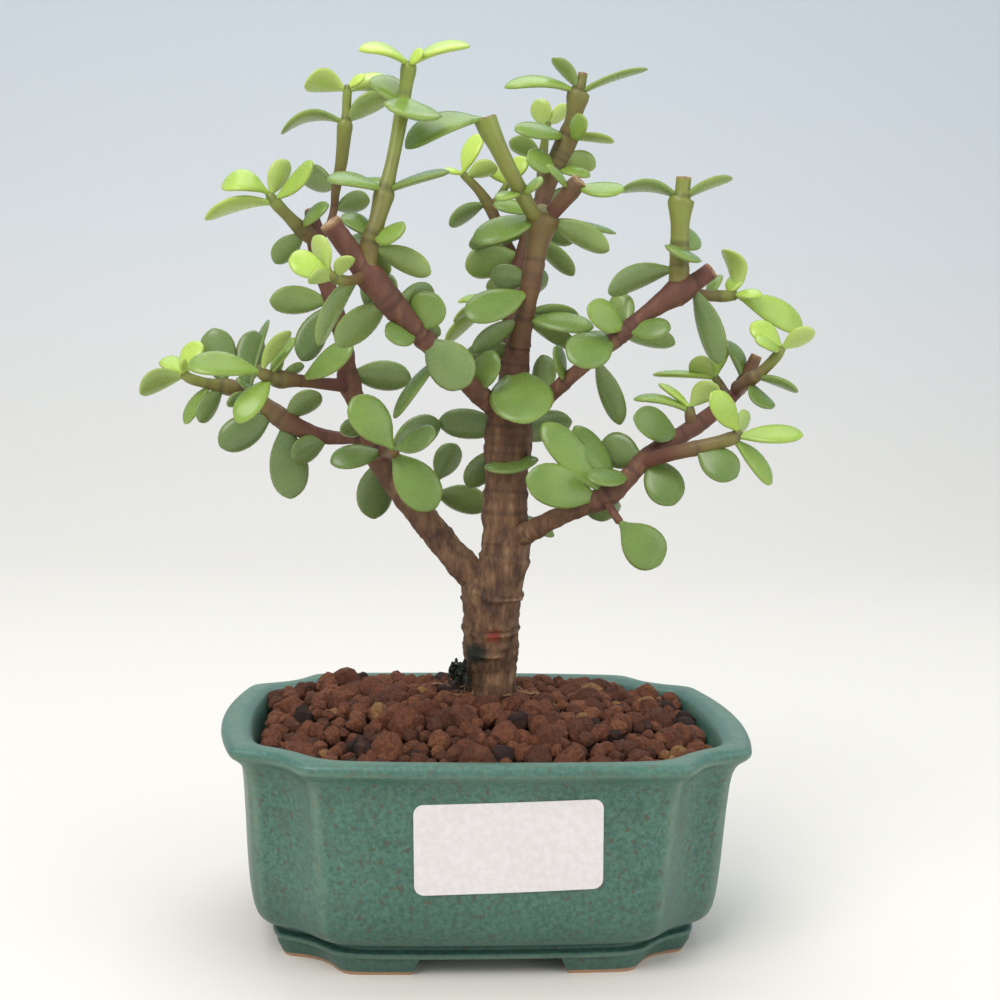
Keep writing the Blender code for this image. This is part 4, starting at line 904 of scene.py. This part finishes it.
        (0, 192, -8, 2.1),
        (-2.2, 196, -8, 2.5), (-3.4, 198.8, -8, 2.4)], [
        (-3.4, 198.4, -22.4, 191.0, -4, 9.8, 34, 0.14), (5.8, 181.4, 0.0, 179.6, -5, 5, 22, 0.04),
        (6, 181.4, 11.0, 184.6, -5, 5, 24, 0.02)]),
    "short_cut_shoot": ("leader", [
        (11.8, 175.2, -4, 1.6), (14, 177.6, -5, 1.8), (17, 181.2, -6, 2.0), (20, 185, -7, 1.9)], [
        (18.4, 183, 31.0, 183.0, -5, 6.8, 30, -0.03), (17.4, 182.2, 11.8, 188.2, -5, 3.2, 30, 0.03)]),
    "back_leader": ("trunk", [
        (4.6, 139, 2, 2.6), (4.2, 145, 6, 2.5), (4.6, 154, 9, 2.3), (6.2, 164, 11, 2.2), (9.2, 174, 12, 2.2),
        (12.2, 183.4, 12, 2.1), (14.8, 190.4, 12, 2.4), (16.8, 195, 12, 2.5), (18, 199.6, 11, 2.0),
        (19, 205.4, 11, 2.6), (19.4, 206.6, 11, 1.3), (20, 210.4, 11, 1.2)], [
        (5.2, 158, -2.2, 158.6, 4, 5, -70, 0.04), (6.4, 166, -7.4, 163.4, -2, 9, -75, 0.04),
        (14, 188, 7.0, 189.2, -7, 7.2, 60, 0.02), (14.4, 187, 22.6, 186.0, -4, 5, 28, 0.05),
        (15, 190, 23.8, 188.2, 4, 6.4, -70, 0.05), (16.8, 194.6, 28.2, 194.4, -2, 6.6, -16, 0.04),
        (16.6, 195.2, 3.8, 196.3, -7, 7.6, 30, 0.04), (16.6, 195.6, 21.2, 199.4, -10, 6.4, 60, 0.0),
        (19, 205.6, 1.0, 206.2, -3, 7.4, 20, 0.12), (19.2, 206.2, 12.4, 213.7, -2, 4.8, -50, 0.1),
        (19.4, 205.6, 35.8, 212.0, -3, 6.4, -10, 0.05), (8.4, 171.6, -6.6, 168.8, -7, 7.4, -50, 0.06),
        (9.6, 175.2, 29.4, 172.5, 5, 6, 15, 0.05), (9.2, 173.4, 18.8, 169.8, 4, 6.4, -60, 0.05),
        (8.6, 171.6, 19.3, 162.0, 5, 5.8, -60, 0.05), (9.4, 175.4, -1.0, 178.4, -1, 5.4, 40, 0.05),
        (9.2, 174.6, -3.0, 172.8, 12, 5.2, -50, 0.05), (10.4, 178.6, 18.8, 181.4, 4, 6, -50, 0.05)]),
    "back_left_twig": ("back_leader", [
        (6, 163.4, 11, 1.5), (1.6, 171, 14, 1.4), (-1.6, 177.6, 15, 1.5), (-4.6, 181.8, 15, 1.2),
        (-8.4, 185.4, 15, 0.9)], [
        (-8, 185.2, -4.4, 195.2, 1, 6.8, 42, 0.04), (-7.8, 185, -0.2, 187.6, -3, 6.2, -50, 0.06),
        (-8.2, 185.4, -13.0, 186.2, -2, 3, 25, 0.03), (-2, 178.2, -11.5, 173.2, -3, 5.8, -50, 0.06)]),
    "back_twig_tip": ("back_left_twig", [
        (-1.4, 177.4, 15, 1.0), (0.6, 180.6, 16, 0.9), (2.8, 184, 16, 0.8)], [
        (2.6, 183.8, 6.8, 190.0, -1, 6.2, 50, 0.04), (2.4, 183.6, -2.4, 187.4, 2, 5.4, 42, 0.04)]),
    "back_shoot": ("back_leader", [
        (9.8, 176, 12, 1.3), (10.4, 183, 17, 1.2), (10.8, 190, 19, 1.3), (11.4, 195.6, 19, 0.9),
        (11.9, 198.4, 19, 0.8)], [
        (11.8, 197.6, 8.6, 203.6, 1, 6.4, -62, 0.04), (11.9, 198, 16.8, 202.2, 3, 5, -52, 0.05),
        (10.8, 190.4, 2.6, 193.8, -1, 6, -62, 0.06)]),
    "mid_back_twig": ("back_leader", [
        (4.4, 151, 8, 1.2), (1.4, 153, 8, 1.0), (-1.6, 154.6, 8, 0.9)], [
        (-1.2, 154.6, -9.9, 150.2, -4, 5.4, -24, 0.08), (-1, 154.2, -11.8, 144.8, -1, 6.4, -32, 0.05),
        (-1.2, 154.8, -8.7, 155.0, 5, 5.4, 22, 0.12)]),
    "right_upper": ("trunk", [
        (4.8, 126, 0, 2.2), (10, 129, -1, 2.0), (15, 133.4, -3, 1.8), (20.4, 138.4, -5, 1.7),
        (26.5, 143.8, -7, 1.7),
        (31.2, 147.8, -8, 1.9), (36.4, 152.4, -8, 1.8), (41.6, 156.4, -8, 2.5), (46, 159.4, -8, 3.1),
        (49.4, 161.4, -8, 2.1), (53.4, 164.4, -8, 2.1)], [
        (17.6, 136, 15.0, 144.6, -5, 6, 28, 0.04), (12.4, 131.4, 12.0, 142.6, 9, 7, -62, 0.04),
        (30, 147, 18.6, 141.4, -6, 10.4, 64, 0.02), (29.4, 146.4, 21.8, 147.2, 3, 5.4, 25, 0.05),
        (32.4, 149, 22.8, 154.7, -5, 7.8, 60, 0.02), (33.6, 150.2, 29.0, 157.4, 5, 7.2, -70, 0.04),
        (32.4, 148.4, 43.8, 149.9, -6, 6.4, 55, 0.0), (32, 148, 45.0, 146.0, 3, 6.2, -50, 0.05),
        (25.6, 143, 32.0, 125.8, 4, 6.4, -62, 0.04), (48.6, 160, 56.3, 141.3, -2, 7.2, -60, 0.05)]),
    "right_column": ("right_upper", [
        (45.4, 158.6, -8, 2.2), (45.3, 163, -8, 2.2), (45.2, 169.4, -8, 2.1), (45.1, 175, -8, 2.2),
        (45.1, 180.6, -8, 2.8), (45.3, 182, -8, 1.8), (45.6, 186.6, -8, 1.8)], [
        (44.6, 181, 29.8, 182.6, 1, 7.4, -22, 0.16), (45.8, 181, 57.8, 186.8, -2, 6.6, -16, 0.06),
        (45.2, 169.8, 46.5, 167, -9, 9.6, 40, 0.0), (45.2, 169.8, 48.8, 173.2, 9, 7, 90, 0.0),
        (45.2, 161.6, 27.8, 158.2, -3, 7.2, -58, 0.12)]),
    "right_tuft": ("right_upper", [
        (47.4, 159.4, -8, 1.2), (51.4, 158.4, -5, 1.2), (56, 158.1, -4, 1.3), (59.6, 158.4, -4, 1.1)], [
        (58.8, 158.6, 56.2, 169.6, -2, 6.4, -50, 0.3), (58, 158.4, 60.6, 163.7, 3, 5.2, 50, 0.04),
        (59.2, 158.6, 66.4, 158.4, -4, 4.4, 30, 0.06), (59.4, 158.2, 77.0, 150.6, 4, 7.8, 58, 0.06),
        (53.6, 158.2, 54.9, 163.0, 5, 5, 42, 0.04)]),
    "right_low": ("trunk", [
        (4.2, 97, 0, 2.6), (10, 98.8, -3, 2.6), (15, 101.6, -6, 2.2), (22, 104.8, -8, 2.1),
        (29, 108, -10, 2.5),
        (33.6, 112, -10, 2.1), (38.4, 117.4, -9, 2.1), (43, 120.8, -8, 1.9), (48, 124, -7, 2.0),
        (53.4, 127.8, -6, 2.0),
        (60, 133.6, -4, 1.5), (63, 138, -3, 1.7), (65.6, 143.8, -3, 1.4)], [
        (38, 118, 27.0, 120.6, 6, 9, -75, 0.04), (31, 110, 20.6, 125.4, 6, 7.4, 50, 0.04),
        (29, 108.8, 12.6, 125.8, 3, 8.4, 70, 0.04), (27, 107.6, 8.8, 112.4, -3, 10.4, 80, 0.03),
        (34.6, 113.2, 24.6, 112.0, -8, 7.4, 40, 0.0), (39, 118.4, 46.2, 106.0, -6, 9.4, 80, 0.03),
        (29, 108, 28.4, 101.8, 8, 8.6, -75, 0.03), (62.6, 137.2, 57.5, 147.4, 5, 6, 34, 0.12),
        (46.6, 123.4, 35.2, 127.8, -7, 8.6, 60, 0.04)]),
    "drop_twig": ("right_low", [
        (29, 107.6, -10, 1.0), (30.6, 104.6, -12, 0.9), (32.6, 101.8, -13, 0.9)], [
        (32.4, 102, 43.4, 91.0, -1, 10.4, 80, 0.03)]),
    "right_mid_twig": ("right_low", [
        (50.4, 125.6, -6.5, 1.3), (49.6, 128, -7, 1.2), (49.2, 130.4, -7, 1.0)], [
        (49.4, 129.6, 35.0, 132.2, 1, 6, 16, 0.1), (49.2, 130.4, 41.2, 136.2, 4, 5, 16, 0.04),
        (49.3, 130.2, 56.2, 136.2, -3, 6.4, -58, 0.16)]),
    "right_fork": ("right_low", [
        (37.6, 116.6, -9, 1.6), (44.6, 118.8, -13, 1.7), (51, 120.4, -15, 1.7), (57.6, 122.2, -16, 1.5),
        (60.8, 123.4, -16, 1.4), (61.8, 125, -16, 1.0)], [
        (61.6, 124.8, 54.4, 134.4, -4, 6.6, 60, 0.05), (61.8, 124.8, 64.4, 129.4, 5, 5, -44, 0.05),
        (61, 123.6, 78.4, 124.3, -3, 6.8, 40, 0.02), (51.4, 120.6, 62.0, 113.4, -5, 8.4, 70, 0.03),
        (60, 123, 70.9, 111.8, 3, 6.4, 40, 0.05)]),
    "right_twig": ("right_low", [
        (59, 132.8, -4.5, 1.1), (57.4, 135.4, -2, 1.0), (55.4, 138, -1, 0.9)], [
        (55.4, 138, 48.9, 141.9, 1, 6.6, -60, 0.06), (55.6, 137.8, 39.6, 138.4, 6, 6, 10, 0.03),
        (55.4, 138.2, 57.6, 146.8, 5, 5.2, 50, 0.03)]),
    "right_tip": ("right_low", [
        (61.4, 135.6, -4, 1.5), (64, 137.6, -8, 1.6), (67, 139.8, -9, 1.3), (70.4, 143.4, -10, 1.2),
        (71.9, 145.8, -10, 0.9)], [
        (71.8, 145.8, 63.8, 151.6, 2, 6.4, 55, 0.05), (71.2, 144.8, 65.2, 147.4, -4, 6, 22, 0.06),
        (71.8, 145.4, 80.0, 150.4, -3, 6.4, -42, 0.04), (65.4, 138.6, 76.6, 135.0, -4, 6.2, -16, 0.05),
        (63.6, 137.6, 70.2, 130.7, -5, 6.4, 34, -0.14)]),
}

# %% [markdown]
# How old a stretch of stem is shows in its colour. Each stem gets a tone at its start and at its end, from 0
# for brown bark, through 0.45 for wine red, to 1 for fresh green. Some limbs end in a sawn face.

# %% Tones and sawn ends
TONES = {
    "trunk": (0.02, 0.30), "left_low": (0.08, 0.50), "left_nub": (0.3, 0.6), "left_back_twig": (0.3, 0.6),
    "left_mid": (0.35, 0.75), "left_reach": (0.30, 0.85), "left_fan": (0.5, 0.95), "left_whip": (0.42, 0.95),
    "left_upper": (0.30, 0.42), "left_tuft": (0.5, 0.8), "tall_shoot": (0.66, 0.97), "leader": (0.50, 0.68),
    "long_cut_shoot": (0.72, 0.92), "short_cut_shoot": (0.42, 0.60), "back_leader": (0.25, 0.78),
    "back_left_twig": (0.4, 0.8), "back_twig_tip": (0.6, 0.9), "back_shoot": (0.5, 0.9),
    "mid_back_twig": (0.4, 0.8), "right_upper": (0.28, 0.44), "right_column": (0.74, 0.86),
    "right_tuft": (0.5, 0.85), "right_low": (0.12, 0.55), "drop_twig": (0.2, 0.5),
    "right_mid_twig": (0.5, 0.8),
    "right_fork": (0.35, 0.8), "right_twig": (0.5, 0.8), "right_tip": (0.5, 0.85),
}
SAWN = {"left_low", "left_upper", "long_cut_shoot", "short_cut_shoot", "back_leader", "right_upper",
        "right_column", "right_low"}
OLD_TIPS = SAWN | {"trunk", "leader", "drop_twig", "left_nub", "left_back_twig"}
print("stems", len(STEMS), "leaves", sum(len(leaves) for _, _, leaves in STEMS.values()))

# %% Reading the plan


def seen(across, up, depth):
    """The point at this depth on the sight line that passes the upright middle plane at across, up."""
    share = (depth - EYE.y) / (0.0 - EYE.y)
    return EYE + (Vector((across, 0.0, up)) - EYE) * share


def smooth_route(points, steps):
    """Points on a Catmull-Rom curve through the given ones, each with its radius."""
    rows = [(*seen(a, u, d * DEPTH_SPREAD), r) for a, u, d, r in points]
    rows = [rows[0]] + rows + [rows[-1]]
    out = []
    for i in range(1, len(rows) - 2):
        p0, p1, p2, p3 = rows[i - 1:i + 3]
        for k in range(steps):
            t = k / steps
            out.append([
                0.5 * (2 * b + (c - a) * t + (2 * a - 5 * b + 4 * c - d) * t * t
                       + (3 * b - a - 3 * c + d) * t ** 3)
                for a, b, c, d in zip(p0, p1, p2, p3)])
    out.append(list(rows[-1]))
    return [(Vector(row[:3]), row[3]) for row in out]


def nearest_gap(point, route):
    """How far the point lies outside the tube along this route."""
    gaps = []
    for (start, r0), (end, r1) in zip(route, route[1:]):
        step = end - start
        t = max(0.0, min(1.0, (point - start).dot(step) / step.length_squared))
        gaps.append((point - start - step * t).length - (r0 + (r1 - r0) * t))
    return min(gaps)


def leaf_root(name, across, up):
    """The point on the stem's middle line where a leaf starts, clear of the stem's own parent."""
    parent, route, _ = STEMS[name]
    fine = smooth_route(route, 4)
    start = 0
    if parent:
        base = smooth_route(STEMS[parent][1], 1)
        while start < len(fine) - 2 and nearest_gap(fine[start][0], base) < 1.2:
            start += 1
    return min((c for c, _ in fine[start:]), key=lambda c: (seen(across, up, c.y) - c).length)


# %% [markdown]
# A stem is drawn like a tapering hose: a disc is extruded along the route, ring by ring, each ring turned to
# the route and set to its radius. The radius swells at each node, where leaves sit or once sat, and a thin
# scar runs round it. A curve with a bevel would be quicker, but could not carry the swellings and the scars.

# %% Drawing a stem
TRUNK_RINGS = (69.0, 74.5, 84.7, 92.0, 96.5, 108.3)
NODE_SPACING = {"left_low": 7.0, "left_upper": 16.0, "leader": 14.0, "back_leader": 14.0,
                "right_upper": 15.0, "right_low": 6.5}
RING_STEP = 0.8
MOSS_AT = seen(-2.5, 68.0, -3.0)
RED_SCAR_AT = seen(2.0, 72.5, -4.0)


def spaced(route, step):
    """The route again, with a point every step millimetres."""
    out = [(route[0][0], route[0][1], 0.0)]
    total, last = 0.0, 0.0
    for (a, ra), (b, rb) in zip(route, route[1:]):
        length = (b - a).length
        count = max(1, round(length / step))
        for k in range(1, count + 1):
            t = k / count
            out.append((a.lerp(b, t), ra + (rb - ra) * t, total + length * t))
        total += length
    return out


def node_places(name, stations):
    """Where along the stem its nodes are: at its leaves, and at even spaces on old wood."""
    places = []
    for row in STEMS[name][2]:
        root = leaf_root(name, row[0], row[1])
        places.append(min(stations, key=lambda s: (s[0] - root).length)[2])
    if name == "trunk":
        places += [min(stations, key=lambda s: abs(s[0].z - height))[2] for height in TRUNK_RINGS]
    if name in NODE_SPACING:
        rng = random.Random(len(name))
        at = 5.0
        while at < stations[-1][2] - 3:
            if all(abs(at - p) > 2.5 for p in places):
                places.append(at)
            at += NODE_SPACING[name] * rng.uniform(0.75, 1.2)
    return places


def spot(point, middle, radius):
    """One near the middle of a mark on the bark, and zero outside it, as seen from the camera."""
    away = (point - EYE).cross((middle - EYE).normalized()).length
    return max(0.0, min(1.0, 2.2 * (1 - away / radius)))


def make_stem(name):
    parent, points, _ = STEMS[name]
    stations = spaced(smooth_route(points, 4), RING_STEP)
    places = node_places(name, stations)
    tone_start, tone_end = TONES[name]
    length = stations[-1][2]
    sides = 28 if name == "trunk" else 16
    sawn = name in SAWN
    piece = start_piece("stem_" + name, bpy.ops.mesh.primitive_circle_add, vertices=sides, radius=MM,
                        fill_type="NGON")
    bpy.ops.object.mode_set(mode="EDIT")
    bpy.ops.mesh.select_all(action="SELECT")
    side, place = None, Matrix.Identity(4)
    for i, (centre, radius, along) in enumerate(stations):
        ahead = (stations[min(i + 1, len(stations) - 1)][0] - stations[max(i - 1, 0)][0]).normalized()
        side = ahead.orthogonal() if side is None else side
        side = (side - ahead * side.dot(ahead)).normalized()
        swell = sum(math.exp(-abs(along - p) / 1.8) for p in places)
        groove = sum(math.exp(-((along - p - 1.0) / 0.28) ** 2) for p in places)
        flare = 0.35 * math.exp(-along / 2.2) if parent else 0.30 * math.exp(-max(0.0, along - 10) / 7.0)
        grown = radius * (1 + 0.12 * min(swell, 1.2) - 0.05 * min(groove, 1.0) + flare)
        turned = Matrix((side, ahead.cross(side), ahead)).transposed().to_4x4()
        turned.translation = centre * MM
        new_place = turned @ Matrix.Diagonal((grown, grown, grown, 1.0))
        if i:
            bpy.ops.mesh.extrude_region_move()
        mesh = bmesh.from_edit_mesh(piece.data)
        change = new_place @ place.inverted()
        for vert in mesh.verts:
            if vert.select:
                vert.co = change @ vert.co
        bmesh.update_edit_mesh(piece.data)
        place = new_place
    last = stations[-1][1]
    bpy.ops.mesh.inset(thickness=last * 0.25 * MM, depth=0.0 if sawn else 0.3 * last * MM)
    bpy.ops.mesh.inset(thickness=last * 0.35 * MM, depth=-0.1 * MM if sawn else 0.1 * MM)
    bpy.ops.object.mode_set(mode="OBJECT")
    tones, scars, cuts, mosses, reds = [], [], [], [], []
    end = stations[-1][0]
    heading = (stations[-1][0] - stations[-3][0]).normalized()
    for vert in piece.data.vertices:
        at = vert.co / MM
        near = min(stations, key=lambda s: (s[0] - at).length_squared)
        centre, radius, along = near
        out = (at - centre).normalized() if (at - centre).length > 0.05 else heading
        t = along / length
        tone = tone_start + (tone_end - tone_start) * t
        rough = max(0.15, 1 - tone * 1.3)
        bumps = noise.noise(at * 0.55 + Vector((7, 3, 1))) * 0.09 + noise.noise(at * 1.6) * 0.06
        bumps += noise.noise(Vector((at.x * 1.5, at.y * 1.5, at.z * 0.25))) * 0.07
        vert.co = (at + out * (bumps * radius * rough)) * MM
        tones.append(tone)
        scars.append(min(1.0, sum(math.exp(-((along - p - 1.0) / 0.42) ** 2) for p in places)))
        mosses.append(spot(at, MOSS_AT, 3.4) if name == "trunk" else 0.0)
        reds.append(spot(at, RED_SCAR_AT, 2.0) if name == "trunk" else 0.0)
        cuts.append(1.0 if sawn and (at - end).dot(heading) > -0.15 else 0.0)
    store(piece, "tone", tones)
    store(piece, "scar", scars)
    store(piece, "sawn", cuts)
    store(piece, "moss", mosses)
    store(piece, "red", reds)
    smooth(piece, 45)
    hand_over(piece, "bark", bark, name)


for stem_name in STEMS:
    make_stem(stem_name)
print("stems drawn")

# %% [markdown]
# A black-green tuft of moss clings to the trunk's left foot, and fine pale roots creep over the granules.
# The tuft is a heap of tiny stretched balls. The roots are thin bevelled curves, made meshes and joined.

# %% Moss and roots
MOSS_SEED = 9
MOSS_BALLS = 110
ROOT_THREADS = 16


def make_moss():
    rng = random.Random(MOSS_SEED)
    heart = seen(-6.6, 63.4, 0.5)
    ball = start_piece("moss_ball", bpy.ops.mesh.primitive_ico_sphere_add, subdivisions=1, radius=MM)
    mesh = bmesh.new()
    for _ in range(MOSS_BALLS):
        away = Vector((rng.gauss(0, 1.1), rng.gauss(0, 1.3), rng.gauss(0, 1.2)))
        copy = ball.data.copy()
        turn = Matrix.Rotation(rng.uniform(0, 3.0), 4, "X")
        sizes = [rng.uniform(0.3, 0.6), rng.uniform(0.3, 0.6), rng.uniform(0.7, 1.6)]
        copy.transform(Matrix.Translation((heart + away) * MM) @ turn @ Matrix.Diagonal(sizes + [1.0]))
        mesh.from_mesh(copy)
        bpy.data.meshes.remove(copy)
    bpy.data.objects.remove(ball)
    data = bpy.data.meshes.new("moss_tuft")
    mesh.to_mesh(data)
    mesh.free()
    tuft = bpy.data.objects.new("moss_tuft", data)
    bpy.context.scene.collection.objects.link(tuft)
    store(tuft, "moss", [1.0] * len(data.vertices))
    smooth(tuft, 30)
    hand_over(tuft, "bark", bark, "trunk")


def make_roots():
    rng = random.Random(MOSS_SEED)
    curve = bpy.data.curves.new("root_threads", "CURVE")
    curve.dimensions = "3D"
    curve.bevel_depth = 0.26 * MM
    curve.bevel_resolution = 1
    curve.use_fill_caps = True
    for k in range(ROOT_THREADS):
        turn = math.tau * (k + rng.random()) / ROOT_THREADS
        reach = rng.uniform(9.0, 26.0)
        spline = curve.splines.new("POLY")
        spline.points.add(13)
        for i, point in enumerate(spline.points):
            far = 4.5 + (reach - 4.5) * i / 13
            turn += rng.uniform(-0.12, 0.12)
            x = TRUNK_FOOT[0] + far * math.cos(turn)
            y = TRUNK_FOOT[1] + far * math.sin(turn) * 0.8
            z = bed_height(x, y) + 1.5 + rng.uniform(-0.5, 0.4) - 2.5 * (i / 13) ** 4
            point.co = (x * MM, y * MM, z * MM, 1.0)
    roots = bpy.data.objects.new("root_threads", curve)
    bpy.context.scene.collection.objects.link(roots)
    nothing_selected()
    roots.select_set(True)
    bpy.context.view_layer.objects.active = roots
    bpy.ops.object.convert(target="MESH")
    roots = bpy.context.active_object
    store(roots, "tone", [0.0] * len(roots.data.vertices))
    store(roots, "sawn", [0.45] * len(roots.data.vertices))
    smooth(roots, 60)
    hand_over(roots, "bark", bark, "trunk")


make_moss()
make_roots()

# %% [markdown]
# One leaf is modelled with care: a ball with its poles at the root and the tip is flattened, and each of its
# rings is scaled to the leaf's outline. That gives a short stalk, a broad round blade and a thick soft edge.
# It is then copied for every leaf of the table, and each copy is bent, turned and sized on its own.

# %% Modelling the leaf
LEAF_SEGMENTS = 12
LEAF_RINGS = 14
LEAF_WIDTHS = [
    (0.0, 0.12), (0.06, 0.17), (0.12, 0.27), (0.2, 0.47), (0.3, 0.71), (0.4, 0.87), (0.5, 0.96), (0.6, 1.0),
    (0.7, 0.98), (0.8, 0.89), (0.88, 0.73), (0.94, 0.52), (0.985, 0.22), (1.0, 0.0)]
LEAF_THICKS = [
    (0.0, 0.8), (0.1, 0.8), (0.2, 0.9), (0.4, 1.0), (0.7, 1.0), (0.9, 0.8), (0.97, 0.5), (1.0, 0.2)]


def read_off(table, x):
    for (x0, y0), (x1, y1) in zip(table, table[1:]):
        if x <= x1:
            return y0 + (y1 - y0) * max(0.0, x - x0) / (x1 - x0)
    return table[-1][1]


def model_leaf():
    """A leaf one long along X, one wide along Y at its broadest, and one thick along Z."""
    leaf = start_piece("leaf_model", bpy.ops.mesh.primitive_uv_sphere_add, segments=LEAF_SEGMENTS,
                       ring_count=LEAF_RINGS, radius=0.5, rotation=(0.0, math.pi / 2, 0.0))
    bpy.ops.object.mode_set(mode="EDIT")
    bpy.ops.mesh.select_all(action="SELECT")
    bpy.ops.transform.translate(value=(0.5, 0.0, 0.0))
    levels = sorted({round(vert.co.x, 4) for vert in bmesh.from_edit_mesh(leaf.data).verts})
    for level in levels[1:-1]:
        pick(leaf, lambda co, at=level: abs(co.x - at) < 0.002)
        ball = 2 * math.sqrt(max(level * (1 - level), 1e-6))
        wide, thick = read_off(LEAF_WIDTHS, level) / ball, read_off(LEAF_THICKS, level) / ball
        bpy.ops.transform.resize(value=(1.0, wide, thick), center_override=(level, 0.0, 0.0))
    bpy.ops.object.mode_set(mode="OBJECT")
    print("leaf faces", len(leaf.data.polygons))
    return leaf


leaf_model = model_leaf()

# %% Placing the leaves
LEAF_THICKNESS = 1.9
LEAF_SEED = 3


def leaf_axes(root, tip, tilt):
    """The leaf's own axes: along it, across it, and out of its upper side."""
    along = (tip - root).normalized()
    to_eye = (EYE - (root + tip) / 2).normalized()
    facing = (to_eye - along * to_eye.dot(along)).normalized()
    upright = along.cross(facing)
    if upright.z < 0:
        upright = -upright
    out = upright * math.cos(math.radians(tilt)) + facing * math.sin(math.radians(tilt))
    return along, out.cross(along), out


def place_leaf(copy, root, tip, width, tilt, arch, cup):
    along, across, out = leaf_axes(root, tip, tilt)
    length = (tip - root).length
    thickness = LEAF_THICKNESS * min(1.0, 0.45 + width / 14)
    under, rim = [], []
    for vert in copy.vertices:
        x, y, z = vert.co
        half = max(0.06, read_off(LEAF_WIDTHS, x) / 2)
        edge = min(1.0, abs(y) / half)
        rise = 4 * arch * x * (1 - x) * length + cup * width * edge * edge * read_off(LEAF_WIDTHS, x)
        crease = -0.22 * math.exp(-(y / 0.05) ** 2) * math.exp(-((x - 0.3) / 0.18) ** 2) if z > 0 else 0.0
        wide = max(width, 1.4 / max(read_off(LEAF_WIDTHS, x), 0.2)) if x < 0.2 else width
        place = root + along * (x * length) + across * (y * wide) + out * (z * thickness + rise + crease)
        vert.co = place * MM
        under.append(1.0 if z < -0.02 else 0.0)
        rim.append(max(0.0, (edge - 0.9) / 0.1) if x > 0.15 else 0.0)
    return under, rim


def make_leaves(name):
    rng = random.Random(LEAF_SEED + len(name) * 7)
    _, route, rows = STEMS[name]
    end = smooth_route(route, 1)[-1][0]
    mesh = bmesh.new()
    layers = {key: mesh.verts.layers.float.new(key) for key in ("age", "under", "rim")}
    for root_a, root_u, tip_a, tip_u, tip_d, width, tilt, arch in rows:
        root = leaf_root(name, root_a, root_u)
        tip = seen(tip_a, tip_u, root.y + tip_d)
        copy = leaf_model.data.copy()
        under, rim = place_leaf(copy, root, tip, width, tilt, arch, rng.uniform(0.02, 0.07))
        fresh = 0.0 if name in OLD_TIPS else max(0.0, 1 - (root - end).length / 9.0)
        age = min(1.0, rng.uniform(0.08, 0.38) + fresh * 0.55 + 0.3 * max(0.0, min(1.0, (tip.z - 140) / 60)))
        before = len(mesh.verts)
        mesh.from_mesh(copy)
        bpy.data.meshes.remove(copy)
        mesh.verts.ensure_lookup_table()
        for k in range(len(under)):
            vert = mesh.verts[before + k]
            vert[layers["age"]] = age
            vert[layers["under"]] = under[k]
            vert[layers["rim"]] = rim[k]
    data = bpy.data.meshes.new("leaves_" + name)
    mesh.to_mesh(data)
    mesh.free()
    piece = bpy.data.objects.new("leaves_" + name, data)
    bpy.context.scene.collection.objects.link(piece)
    smooth(piece, 180)
    hand_over(piece, "leaves", leaf_green, name)


for stem_name, (_, _, stem_leaves) in STEMS.items():
    if stem_leaves:
        make_leaves(stem_name)
bpy.data.objects.remove(leaf_model)
print("leaves placed")

# %% [markdown]
# The stage is a plain pale sweep: a floor that turns up into a back wall in a wide curve, so no line shows
# behind the pot. Three large soft lights stand round it, and a pale sky fills the shadows.

# %% The stage and the lights


def sweep_material():
    tree = Tree("pale_stage", 0.85)
    tree.color(tree.ramp(
        tree.span(tree.height(), 0.0, 1.3), (0.0, (0.80, 0.75, 0.68)), (0.25, (0.76, 0.78, 0.78)),
        (1.0, (0.66, 0.82, 0.92))))
    return tree.material


def make_stage():
    sweep = start_piece("stage_sweep", bpy.ops.mesh.primitive_plane_add, size=1.0)
    for vert in sweep.data.vertices:
        vert.co = Vector((vert.co.x * 8.0, 1.6 if vert.co.y > 0 else -2.0, 0.0))
    bpy.ops.object.mode_set(mode="EDIT")
    pick(sweep, lambda co: co.y > 1.5, "EDGE")
    bpy.ops.mesh.extrude_region_move(TRANSFORM_OT_translate={"value": (0, 0, 4.0)})
    pick(sweep, lambda co: abs(co.z) < 0.01 and co.y > 1.5, "EDGE")
    bpy.ops.mesh.bevel(offset=1.0, segments=16)
    bpy.ops.object.mode_set(mode="OBJECT")
    smooth(sweep, 60)
    sweep.data.materials.append(sweep_material())


def area_light(name, place, aim, size, power, color):
    data = bpy.data.lights.new(name, "AREA")
    data.shape = "SQUARE"
    data.size = size
    data.energy = power
    data.color = color
    light = bpy.data.objects.new(name, data)
    bpy.context.scene.collection.objects.link(light)
    light.location = place
    light.rotation_euler = (Vector(aim) - Vector(place)).to_track_quat("-Z", "Y").to_euler()


make_stage()
area_light("key", (-0.5, -0.7, 0.95), (0, 0, 0.1), 0.7, 9.0, (1.0, 0.98, 0.95))
area_light("fill", (0.8, -0.6, 0.5), (0, 0, 0.1), 0.9, 3.5, (0.95, 0.98, 1.0))
area_light("top", (0.0, 0.3, 1.1), (0, 0, 0.1), 0.9, 5.0, (1.0, 1.0, 1.0))
world = bpy.data.worlds.new("pale_sky")
world.use_nodes = True
world.node_tree.nodes["Background"].inputs["Color"].default_value = (0.86, 0.92, 1.0, 1.0)
world.node_tree.nodes["Background"].inputs["Strength"].default_value = 0.68
bpy.context.scene.world = world
bpy.context.scene.view_settings.view_transform = "Standard"
